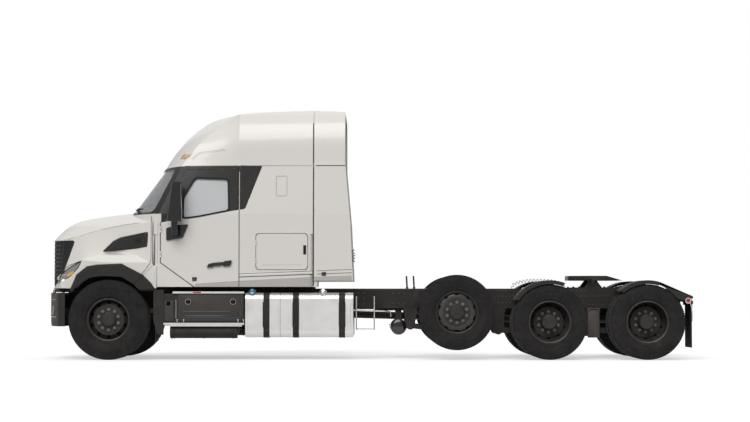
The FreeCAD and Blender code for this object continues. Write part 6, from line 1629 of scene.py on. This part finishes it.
@dataclass
class FrameTrim:
    """The bolts, lines, brackets and brake cans along the frame."""

    rail: float = 0.432
    bolt_rows: tuple[tuple[float, float, int, tuple[float, ...]], ...] = (
        (-2.700, -2.600, 2, (0.940, 0.780)), (-0.120, -0.040, 2, (0.940, 0.860, 0.780)),
        (0.380, 0.540, 3, (0.930, 0.790)), (0.980, 1.560, 6, (0.940, 0.780)),
        (1.900, 2.115, 5, (0.968, 0.889, 0.796)), (2.960, 3.150, 4, (0.968, 0.890)),
        (3.206, 3.493, 7, (0.896, 0.767)), (4.180, 4.340, 3, (0.950, 0.860)))

    def pair(self, form: Form, name: str, finish: Finish, merge: float = MERGE) -> None:
        """Close a form and its mirror image into one piece of the frame."""
        form.mirrored().piece(name, finish, "chassis", "frame_paint", merge=merge)

    def bolts(self) -> None:
        """Build the rows of bolt heads on both rails' webs."""
        form = Form()
        for x0, x1, count, heights in self.bolt_rows:
            for k in range(count):
                x = x0 + (x1 - x0) * k / (count - 1)
                for z in heights:
                    form.bar((x, -self.rail, z), (x, -self.rail - 0.004, z), 0.014, 12)
                    form.bar((x, -self.rail - 0.004, z), (x, -self.rail - 0.013, z), 0.010, 6)
        self.pair(form, "frame_bolts", BOLT_STEEL, merge=0.0)

    def seals(self) -> None:
        """Build the rubber seals between the rails and the cab's floor."""
        form = Form()
        form.block((-2.900, -0.425, 1.0032), (-0.760, -0.350, 1.0238), 0.004)
        self.pair(form, "cab_floor_seals", FLAP_RUBBER)

    def posts(self) -> None:
        """Build the two hose posts, the lift bracket and the plate between the drive wheels."""
        form = Form()
        for x in (0.583, 0.684):
            form.bar((x, -0.395, 1.003), (x - 0.010, -0.395, 1.178), 0.012, 14)
            form.bar((x, -0.395, 1.003), (x, -0.395, 1.020), 0.020, 14)
            form.bar((x - 0.010, -0.395, 1.172), (x - 0.0105, -0.395, 1.182), 0.014, 14)
        form.piece("hose_posts", FLAP_RUBBER, "chassis", "trim")
        form = Form()
        lift = [(0.700, -0.434, 0.995), (0.860, -0.434, 0.995), (0.640, -0.434, 0.520),
                (0.540, -0.434, 0.520)]
        form.plate(lift, (0, -0.020, 0), 0.004)
        for x, z in ((0.760, 0.940), (0.705, 0.800), (0.600, 0.560)):
            form.bar((x, -0.454, z), (x, -0.468, z), 0.016, 6)
        self.pair(form, "axle_brackets", CAST_IRON)
        form = Form()
        form.block((3.165, -0.566, 0.300), (3.335, -0.552, 0.722), 0.006)
        form.block((3.180, -0.566, 0.690), (3.320, -0.430, 0.712), 0.004)
        for x in (3.190, 3.310):
            form.bar((x, -0.566, 0.690), (x, -0.578, 0.690), 0.012, 6)
        self.pair(form, "centre_plates", BROWN_PLATE)

    def lines(self) -> None:
        """Build the line bundles along the rails, and the bright pipe under the left one."""
        form = Form()
        for y, z, r in ((-0.372, 0.905, 0.016), (-0.366, 0.862, 0.011), (-0.372, 0.830, 0.009)):
            points = [(-2.000, y, z), (-0.700, y, z - 0.012), (0.300, y, z + 0.008), (1.200, y, z - 0.010),
                      (2.000, y + 0.010, z), (2.700, y + 0.020, z + 0.004)]
            form.tube(points, r, 10)
        self.pair(form, "frame_line_bundles", FLAP_RUBBER)
        form = Form()
        form.tube([(-0.190, -0.395, 0.700), (0.100, -0.395, 0.690), (0.250, -0.395, 0.684),
                   (0.345, -0.360, 0.665), (0.350, -0.330, 0.600)], 0.009, 12)
        form.bar((-0.190, -0.395, 0.700), (-0.190, -0.395, 0.722), 0.013, 12)
        form.piece("bright_air_pipe", STEEL, "chassis", "frame_paint")
        form = Form()
        form.tube([(-0.300, -0.370, 0.712), (-0.100, -0.372, 0.706), (0.200, -0.370, 0.704),
                   (0.440, -0.370, 0.710), (0.900, -0.372, 0.712)], 0.022, 12)
        self.pair(form, "lower_looms", FLAP_RUBBER)

    def brake_cans(self) -> None:
        """Build the brake chambers ahead of each drive axle and their rods."""
        form = Form()
        for x in (FIRST_DRIVE_X, SECOND_DRIVE_X):
            centre = (x - 0.235, -0.300, 0.520)
            line = [(0.0, -0.085), (0.060, -0.085), (0.076, -0.070), (0.078, -0.008), (0.084, -0.006),
                    (0.084, 0.006), (0.078, 0.008), (0.076, 0.062), (0.055, 0.078), (0.0, 0.080)]
            form.turned(line, centre, (1, 0, 0), 32)
            form.bar((x - 0.155, -0.300, 0.520), (x - 0.060, -0.300, 0.530), 0.010, 10)
        self.pair(form, "brake_chambers", FRAME_PAINT)

    def top_edges(self) -> None:
        """Build a thin light strip along each rail's top flange: a painted highlight where it catches light.
        """
        form = Form()
        form.block((-0.740, -0.4345, 0.9965), (0.900, -0.4315, 1.0032), 0.0012, 2)
        form.block((1.640, -0.4345, 0.9965), (2.080, -0.4315, 1.0032), 0.0012, 2)
        self.pair(form, "rail_edge_highlights", RAIL_EDGE_HIGHLIGHT)

    def tank_fittings(self) -> None:
        """Build the domed ends, the bands and the drain fittings of the two air tanks."""
        form = Form()
        dome = [(0.1118, 0.0), (0.108, -0.014), (0.094, -0.024), (0.070, -0.030), (0.040, -0.033),
                (0.0, -0.034)]
        form.turned(dome, (0.460, -0.370, 0.452), (0, 1, 0), 48)
        self.pair(form, "air_tank_domes", GLOSS_TRIM)
        form = Form()
        for y in (-0.330, -0.160):
            ring = [(0.112, -0.012), (0.1155, -0.010), (0.1155, 0.010), (0.112, 0.012)]
            form.turned(ring, (0.460, y, 0.452), (0, 1, 0), 40)
        self.pair(form, "air_tank_bands", FRAME_PAINT)
        form = Form()
        for x in (0.335, 0.585):
            toward = 1 if x < 0.460 else -1
            form.bar((x, -0.300, 0.470), (x + toward * 0.030, -0.300, 0.466), 0.012, 12)
            form.bar((x - toward * 0.006, -0.300, 0.470), (x, -0.300, 0.470), 0.017, 6)
            form.bar((x, -0.300, 0.430), (x + toward * 0.030, -0.300, 0.434), 0.009, 12)
        self.pair(form, "air_tank_fittings", STEEL)

    def build(self) -> None:
        """Build everything along the frame."""
        self.bolts()
        self.seals()
        self.posts()
        self.lines()
        self.brake_cans()
        self.top_edges()
        self.tank_fittings()


@dataclass
class Guards:
    """The rolled edges of the mudguards, the rods of the splash guards, and the rear lamps."""

    radius: float = 0.586
    inner: float = 0.5325
    tail: Profile = ((4.110, 1.053), (4.573, 0.885), (4.573, 0.862), (4.470, 0.835), (4.405, 0.835),
                     (4.372, 0.850), (4.300, 0.925), (4.225, 0.987), (4.150, 1.030))
    outer_y: float = 1.2315
    spans: tuple[tuple[float, float, float], ...] = ((FIRST_DRIVE_X, -56.0, 21.0),
                                                     (SECOND_DRIVE_X, -40.0, 17.0))

    def edges(self) -> None:
        """Build the turned-down lip along each guard's outer edge."""
        form = Form()
        for x, start, stop in self.spans:
            turns = [math.radians(start + (stop - start) * k / 15) for k in range(16)]
            outline = [(x + self.radius * math.sin(t), -self.outer_y,
                        DRIVE_TYRE_R + self.radius * math.cos(t))
                       for t in turns]
            outline += [(x + self.inner * math.sin(t), -self.outer_y, DRIVE_TYRE_R + self.inner * math.cos(t))
                        for t in reversed(turns)]
            form.plate(outline, (0, 0.006, 0))
        form.plate([(x, -self.outer_y, z) for x, z in self.tail], (0, 0.006, 0))
        form.mirrored().piece("mudguard_lips", TRIM_PLASTIC, "chassis", "trim")

    def rods(self) -> None:
        """Build the thin rods under the splash guards."""
        form = Form()
        for x in (-2.956, -2.921):
            form.bar((x, -1.150, 0.500), (x, -1.150, 0.236 + (0.028 if x > -2.94 else 0.0)), 0.006, 10)
        form.block((-2.972, -1.162, 0.490), (-2.905, -1.138, 0.520), 0.004)
        form.mirrored().piece("splash_guard_rods", BOLT_STEEL, "chassis", "trim")

    def lamps(self) -> None:
        """Build the tail lamps, their plates, and the bright hangers of the mudflaps."""
        plates, red, white = Form(), Form(), Form()
        plates.block((4.546, -0.800, 0.768), (4.552, -0.455, 0.880), 0.006)
        for y, form in ((-0.520, white), (-0.630, red), (-0.740, red)):
            plates.turned([(0.052, 0.0), (0.052, 0.009), (0.046, 0.011), (0.044, 0.004)], (4.552, y, 0.824),
                          (1, 0, 0), 32)
            form.turned([(0.0, 0.0085), (0.020, 0.008), (0.036, 0.006), (0.0435, 0.002), (0.0435, -0.002),
                         (0.0, -0.002)], (4.556, y, 0.824), (1, 0, 0), 32)
        hangers = Form()
        ring = [(0.030, -1.2335), (0.034, -1.2365), (0.041, -1.2355), (0.042, -1.2315), (0.030, -1.2315)]
        hangers.turned(ring, (4.505, 0.0, 0.832), steps=32)
        hangers.tube([(4.535, -1.226, 0.800), (4.553, -1.226, 0.740), (4.562, -1.226, 0.640),
                      (4.562, -1.226, 0.540)], 0.008, 10)
        red.turned([(0.0, -1.2345), (0.024, -1.2340), (0.030, -1.2320)], (4.505, 0.0, 0.832), steps=32)
        for y in (-0.700, -1.180):
            hangers.tube([(4.562, y, 0.850), (4.566, y, 0.760), (4.560, y, 0.640), (4.562, y, 0.560)],
                         0.006, 10)
        ribbon(hangers, ((-1.215, 0.560), (-0.655, 0.560)), 0.030,
               lambda y, z, more=0.0: Vector((4.555 + more, y, z)), 0.004, 0.3, 0.001)
        for form, name, finish in ((plates, "tail_lamp_plates", FRAME_PAINT),
                                   (red, "tail_lamps_red", RED_LENS),
                                   (white, "reversing_lamps", WHITE_LENS_AND_PAINTED_HIGHLIGHT),
                                   (hangers, "mudflap_hangers", CHROME)):
            form.mirrored().piece(name, finish, "chassis", "lamp" if "lamp" in name else "trim")

    def build(self) -> None:
        """Build the edges, rods and lamps."""
        self.edges()
        self.rods()
        self.lamps()


@dataclass
class FifthWheelTrim:
    """The grease grooves, release handle and base bolts of the fifth wheel."""

    top: float = 1.186

    def build(self) -> None:
        """Build the fittings on the tilting plate."""
        form = Form()
        grooves = [((3.000, -0.330), (3.130, -0.120), (3.140, 0.120), (3.000, 0.330)),
                   ((3.160, -0.400), (3.300, -0.420), (3.420, -0.400)),
                   ((3.160, 0.400), (3.300, 0.420), (3.420, 0.400))]
        feel = Skin("coupler_plate").above()
        for line in grooves:
            if all(feel(x, y).z > self.top - 0.004 for x, y in line):
                ribbon(form, line, 0.012, feel, 0.0006, 0.04)
        form.piece("grease_grooves", SEAM_DARK, "coupler", "cast_iron")
        handle = Form()
        handle.tube([(3.180, -0.440, 1.140), (3.180, -0.520, 1.138), (3.182, -0.580, 1.136),
                     (3.205, -0.600, 1.136), (3.228, -0.580, 1.136), (3.228, -0.530, 1.136),
                     (3.205, -0.515, 1.136), (3.184, -0.530, 1.137)], 0.009, 12)
        for y in (-0.300, 0.300):
            handle.bar((3.262, y - 0.030, 1.104), (3.262, y + 0.030, 1.104), 0.030, 20)
        handle.piece("release_handle", CAST_IRON, "coupler", "cast_iron")
        bolts = Form()
        for x in (2.975, 3.060, 3.420, 3.520, 3.590):
            for y in (-0.405, 0.405):
                at = Skin("coupler_base").above()(x, y)
                bolts.bar(at, at + Vector((0, 0, 0.014)), 0.015, 6)
        bolts.piece("base_bolts", BOLT_STEEL, "chassis", "frame_paint")


BOX_PLASTIC = Finish("box_cover_plastic", (0.048, 0.042, 0.039), 0.5, drift=0.1, grain=Grain.CELLS,
    grain_scale=560, grain_depth=0.0005, dust=0.08, specular=0.3)
BOLT_STEEL = Finish("darkened_bolts", (0.062, 0.058, 0.055), 0.4, metallic=0.5, drift=0.2, grain_scale=300)
BROWN_PLATE = Finish("dusty_brown_plate", (0.072, 0.058, 0.054), 0.6, drift=0.2, grain_scale=240, dust=0.2)
# A light strip along each rail's top flange: a painted highlight where the flange catches light.
RAIL_EDGE_HIGHLIGHT = Finish("rail_edge_painted_highlight", (0.30, 0.27, 0.24), 0.5, metallic=0.3, drift=0.3, grain_scale=200)
TANK_SEAM = Finish("tank_weld", (0.60, 0.59, 0.58), 0.4, metallic=0.7, drift=0.1, grain_scale=300)


@dataclass
class Coil:
    """A curly cord: a helix about the route that the CAD tube follows."""

    node: str
    finish: Finish
    route: tuple[Point, ...]
    turn_r: float
    wire_r: float
    pitch: float
    steps: int = 14
    ease: float = 0.05

    def points(self) -> list[Vector]:
        """Read the points of the route's own spline."""
        data = bpy.data.curves.new(f"{self.node}_route", "CURVE")
        data.dimensions = "3D"
        data.resolution_u = 96
        spline = data.splines.new("NURBS")
        spline.points.add(len(self.route) - 1)
        for point, place in zip(spline.points, self.route):
            point.co = (*place, 1.0)
        spline.order_u = 3
        spline.use_endpoint_u = True
        holder = linked(f"{self.node}_route", data)
        bpy.context.view_layer.update()
        mesh = bpy.data.meshes.new_from_object(holder)
        found = [v.co.copy() for v in mesh.vertices]
        bpy.data.objects.remove(holder)
        bpy.data.curves.remove(data)
        bpy.data.meshes.remove(mesh)
        return found

    def build(self) -> None:
        route = self.points()
        spans = [(b - a).length for a, b in zip(route, route[1:])]
        total = sum(spans)
        count = int(total / self.pitch * self.steps)
        line = []
        ahead = (route[1] - route[0]).normalized()
        out = ahead.orthogonal().normalized()
        k, before = 0, 0.0
        for i in range(count + 1):
            s = total * i / count
            while k < len(spans) - 1 and before + spans[k] < s:
                before += spans[k]
                k += 1
            here = route[k].lerp(route[k + 1], min((s - before) / spans[k], 1.0))
            way = (route[k + 1] - route[k]).normalized()
            out = (out - way * out.dot(way)).normalized()
            turn = 2 * math.pi * i / self.steps
            share = min(1.0, min(s, total - s) / self.ease)
            reach = self.turn_r * share * share * (3 - 2 * share)
            line.append(here + out * math.cos(turn) * reach + way.cross(out) * math.sin(turn) * reach)
        data = bpy.data.curves.new(f"{self.node}_helix", "CURVE")
        data.dimensions = "3D"
        data.bevel_depth = self.wire_r
        data.bevel_resolution = 2
        data.resolution_u = 1
        data.use_fill_caps = True
        spline = data.splines.new("POLY")
        spline.points.add(len(line) - 1)
        for point, place in zip(spline.points, line):
            point.co = (*place, 1.0)
        made = linked(f"{self.node}_helix", data)
        data.materials.append(self.finish.material())
        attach(made, "chassis")
        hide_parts(self.node)


def swelled(name: str, form: Form, voxel: float, cap: float, pressure: float = 4.0) -> bmesh.types.BMesh:
    """Swell a closed form as cloth with air in it, and cap how far any point moved.

    Args:
        name: A name for the piece while it swells.
        form: The plain closed form, a little smaller than the piece.
        voxel: The size of its mesh's faces.
        cap: The furthest that a point may move.
        pressure: The air's pressure.

    Returns:
        The swelled mesh, smoothed once.
    """
    mesh = bpy.data.meshes.new(name)
    bmesh.ops.recalc_face_normals(form.bm, faces=form.bm.faces)
    form.bm.to_mesh(mesh)
    form.bm.free()
    made = linked(name, mesh)
    remesh = made.modifiers.new("remesh", "REMESH")
    remesh.mode = "VOXEL"
    remesh.voxel_size = voxel
    depsgraph = bpy.context.evaluated_depsgraph_get()
    plain = bpy.data.meshes.new_from_object(made.evaluated_get(depsgraph))
    made.modifiers.clear()
    made.data = plain
    start = [v.co.copy() for v in plain.vertices]
    cloth = made.modifiers.new("cloth", "CLOTH")
    cloth.settings.use_pressure = True
    cloth.settings.uniform_pressure_force = pressure
    cloth.settings.quality = 4
    cloth.settings.effector_weights.gravity = 0.0
    cloth.collision_settings.use_collision = False
    cloth.point_cache.frame_end = CLOTH_STEPS
    for step in range(1, CLOTH_STEPS + 1):
        bpy.context.scene.frame_set(step)
    depsgraph = bpy.context.evaluated_depsgraph_get()
    plain = bpy.data.meshes.new_from_object(made.evaluated_get(depsgraph))
    bpy.context.scene.frame_set(1)
    bm = bmesh.new()
    bm.from_mesh(plain)
    bm.verts.ensure_lookup_table()
    for vert, origin in zip(bm.verts, start):
        move = vert.co - origin
        if move.length > cap:
            vert.co = origin + move.normalized() * cap
    bmesh.ops.smooth_vert(bm, verts=bm.verts, factor=0.5, use_axis_x=True, use_axis_y=True, use_axis_z=True)
    bpy.data.objects.remove(made)
    return bm


@dataclass
class Seats:
    """The two seats and the bunk: swelled cushions on rigid frames."""

    middle_y: float = 0.560
    lean: float = 0.205
    cap: float = 0.014

    def cushion(self, name: str, blocks: Sequence[tuple[Point, Point]], edge: float, lean: float,
                channels: Sequence[float], across: int, finish: Finish,
                replaces: Sequence[str] = ()) -> None:
        """Args:
            name: The piece's name.
            blocks: The low and high corners of its blocks.
            edge: The radius of their edges.
            lean: How far back it leans for each metre of height.
            channels: Where the sewn channels are along the chosen axis.
            across: The axis that the channels are spaced along.
            finish: The cloth.
            replaces: The CAD nodes that it stands for.
        """
        form = Form()
        for low, high in blocks:
            form.block(low, high, edge, 3)
        bm = swelled(name, form, 0.016 if "mattress" not in name else 0.024, self.cap)
        middle = sum((v.co for v in bm.verts), Vector()) / len(bm.verts)
        for vert in bm.verts:
            near = min((abs(vert.co[across] - c) for c in channels), default=1.0)
            if near < 0.030:
                pull = Vector()
                axis = 0 if lean else 2
                side = 1 if vert.co[axis] > middle[axis] else -1
                pull[axis] = -side * 0.008 * (1 - near / 0.030) ** 2
                vert.co += pull
            vert.co.x += lean * (vert.co.z - 1.600)
        made = Form()
        made.bm.free()
        made.bm = bm
        bmesh.ops.subdivide_edges(bm, edges=bm.edges[:], cuts=1, smooth=0.6, use_grid_fill=True)
        piece = made.piece(name, finish, "chassis", "seat", replaces, smooth=3.0)

    def frames(self) -> None:
        """Build the seats' pedestals and pivots, and the bunk's board."""
        form = Form()
        y = -self.middle_y
        form.block((-2.250, y - 0.150, 1.076), (-1.910, y + 0.150, 1.130), 0.012)
        for k in range(7):
            grow = 0.014 * (k % 2)
            form.block((-2.215 - grow, y - 0.130 - grow, 1.130 + 0.046 * k),
                       (-1.945 + grow, y + 0.130 + grow, 1.176 + 0.046 * k), 0.010)
        form.block((-2.300, y - 0.235, 1.452), (-1.850, y + 0.235, 1.486), 0.012)
        for side in (-1, 1):
            form.bar((-1.880, y + side * 0.243, 1.500), (-1.880, y + side * 0.252, 1.500), 0.040, 24)
        form.mirrored()
        form.block((-1.600, -1.160, 1.790), (-0.797, 1.160, 1.812), 0.004)
        form.piece("seat_frames", TRIM_PLASTIC, "chassis", "dash")

    def build(self) -> None:
        """Build the cushions, then the frames."""
        for side, sign in SIDES.items():
            y = sign * self.middle_y
            self.cushion(f"{side}_seat_cushion", [((-2.318, y - 0.246, 1.494), (-1.905, y + 0.246, 1.588))],
                         0.034, 0.0, (y - 0.150, y + 0.150), 1, SEAT_CLOTH,
                         ("seats_and_bunk",) if side == "left" else ())
            self.cushion(f"{side}_seat_back", [((-1.944, y - 0.240, 1.600), (-1.862, y + 0.240, 2.050))],
                         0.034, self.lean, (1.760, 1.900), 2, SEAT_CLOTH)
            self.cushion(f"{side}_headrest", [((-1.930, y - 0.135, 2.085), (-1.868, y + 0.135, 2.212))],
                         0.026, self.lean, (), 2, SEAT_CLOTH)
        self.cushion("mattress", [((-1.562, -1.132, 1.826), (-0.833, 1.132, 1.932))], 0.030, 0.0,
                     (-0.560, 0.0, 0.560), 1, BUNK_CLOTH)
        self.frames()


COILS = (
    Coil("cab_coil", GREEN_LINE,
         ((-0.745, -0.260, 1.560), (-0.330, -0.260, 1.560), (-0.195, -0.260, 1.560), (-0.195, -0.260, 1.510),
          (-0.195, -0.260, 1.440), (-0.195, -0.260, 1.390), (-0.330, -0.260, 1.390), (-0.745, -0.260, 1.390)),
         0.0250, 0.0048, 0.036),
    Coil("frame_hose", GREY_LINE,
         ((2.090, -0.388, 1.003), (2.090, -0.388, 1.120), (2.852, -0.388, 1.120), (2.852, -0.388, 1.003)),
         0.0210, 0.0048, 0.050),
)


@dataclass
class Studio:
    """The pale floor, the soft light and the camera at the photograph's place."""

    camera_at: Point = (0.12, -29.84, 0.882)
    pitch_deg: float = 2.41
    lens: float = 98.0
    world_strength: float = 0.42
    sun_strength: float = 1.9
    fill_strength: float = 0.42

    def camera(self) -> None:
        """Place the camera."""
        data = bpy.data.cameras.new("camera")
        data.lens = self.lens
        data.sensor_width = 36.0
        data.clip_end = 200.0
        made = linked("camera", data)
        made.location = self.camera_at
        made.rotation_euler = (math.radians(90 + self.pitch_deg), 0, 0)
        bpy.context.scene.camera = made

    def shown(self, tree: Tree, ray: str, plain: Socket, pale: Socket, out: str) -> None:
        """Show one shader to the camera and one more kind of ray, and another to the rest.

        Args:
            tree: The node tree.
            ray: The other kind of ray that sees the pale shader.
            plain: The shader for the rest.
            pale: The shader for the camera.
            out: The output node's type.
        """
        path = add_node(tree, "LightPath", {})
        seen = add_node(tree, "Math", {0: path["Is Camera Ray"], 1: path[f"Is {ray} Ray"]},
                        operation="MAXIMUM")
        chosen = add_node(tree, "MixShader", {"Fac": seen[0], 1: plain, 2: pale})[0]
        add_node(tree, out, {"Surface": chosen})

    def floor(self) -> None:
        """Lay the floor, white to the camera and plain to everything else."""
        bm = bmesh.new()
        bmesh.ops.create_grid(bm, x_segments=1, y_segments=1, size=60.0)
        mesh = bpy.data.meshes.new("floor")
        bm.to_mesh(mesh)
        bm.free()
        made = linked("floor", mesh)
        made.location.z = -0.002
        material = bpy.data.materials.new("floor_pale")
        material.use_nodes = True
        tree = material.node_tree
        tree.nodes.clear()
        pale, dim = (add_node(tree, "BsdfDiffuse", {"Color": (c, c, c, 1)})[0] for c in (0.62, 0.26))
        glow = add_node(tree, "Emission", {"Strength": 0.52})[0]
        both = add_node(tree, "AddShader", {0: pale, 1: glow})[0]
        self.shown(tree, "Glossy", dim, both, "OutputMaterial")
        mesh.materials.append(material)

    def light(self) -> None:
        """Set the world and the soft lamps."""
        world = bpy.data.worlds.new("studio")
        world.use_nodes = True
        tree = world.node_tree
        tree.nodes.clear()
        lit, white = (add_node(tree, "Background", {"Color": (1, 1, 1, 1), "Strength": strength})[0]
                      for strength in (self.world_strength, 1.0))
        self.shown(tree, "Transmission", lit, white, "OutputWorld")
        bpy.context.scene.world = world
        for name, strength, turn, angle in (("key_sun", self.sun_strength, (47, -16, 0), 45),
                                            ("fill_sun", self.fill_strength, (-55, 25, 0), 70)):
            data = bpy.data.lights.new(name, "SUN")
            data.energy = strength
            data.angle = math.radians(angle)
            linked(name, data).rotation_euler = [math.radians(a) for a in turn]

    def build(self) -> None:
        """Set the whole studio."""
        bpy.context.scene.view_settings.view_transform = "Standard"
        self.camera()
        self.floor()
        self.light()


def dress_nodes() -> None:
    """Give every CAD node its finish."""
    for name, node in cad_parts.items():
        finish = NODE_FINISHES.get(name)
        if finish is None:
            finish = RUBBER if "tyre" in name else WHEEL_PAINT
        material = finish.material()
        for spot in node.material_slots:
            spot.material = material
        if not node.material_slots:
            node.data.materials.append(material)


def main() -> None:
    """Build the studio, the finishes and every piece in order."""
    Studio().build()
    dress_nodes()
    for part in (*all_wheels(), Nose()):
        part.build()
    for side in SIDES:
        for trim in (CabTrim, BodySeams, RoofTrim, HoodTrim, MirrorTrim, SideBoxTrim, TankTrim):
            trim(side).build()
    for part in (FrameTrim(), Guards(), FifthWheelTrim(), *COILS, Seats()):
        part.build()


if __name__ == "__main__":
    main()
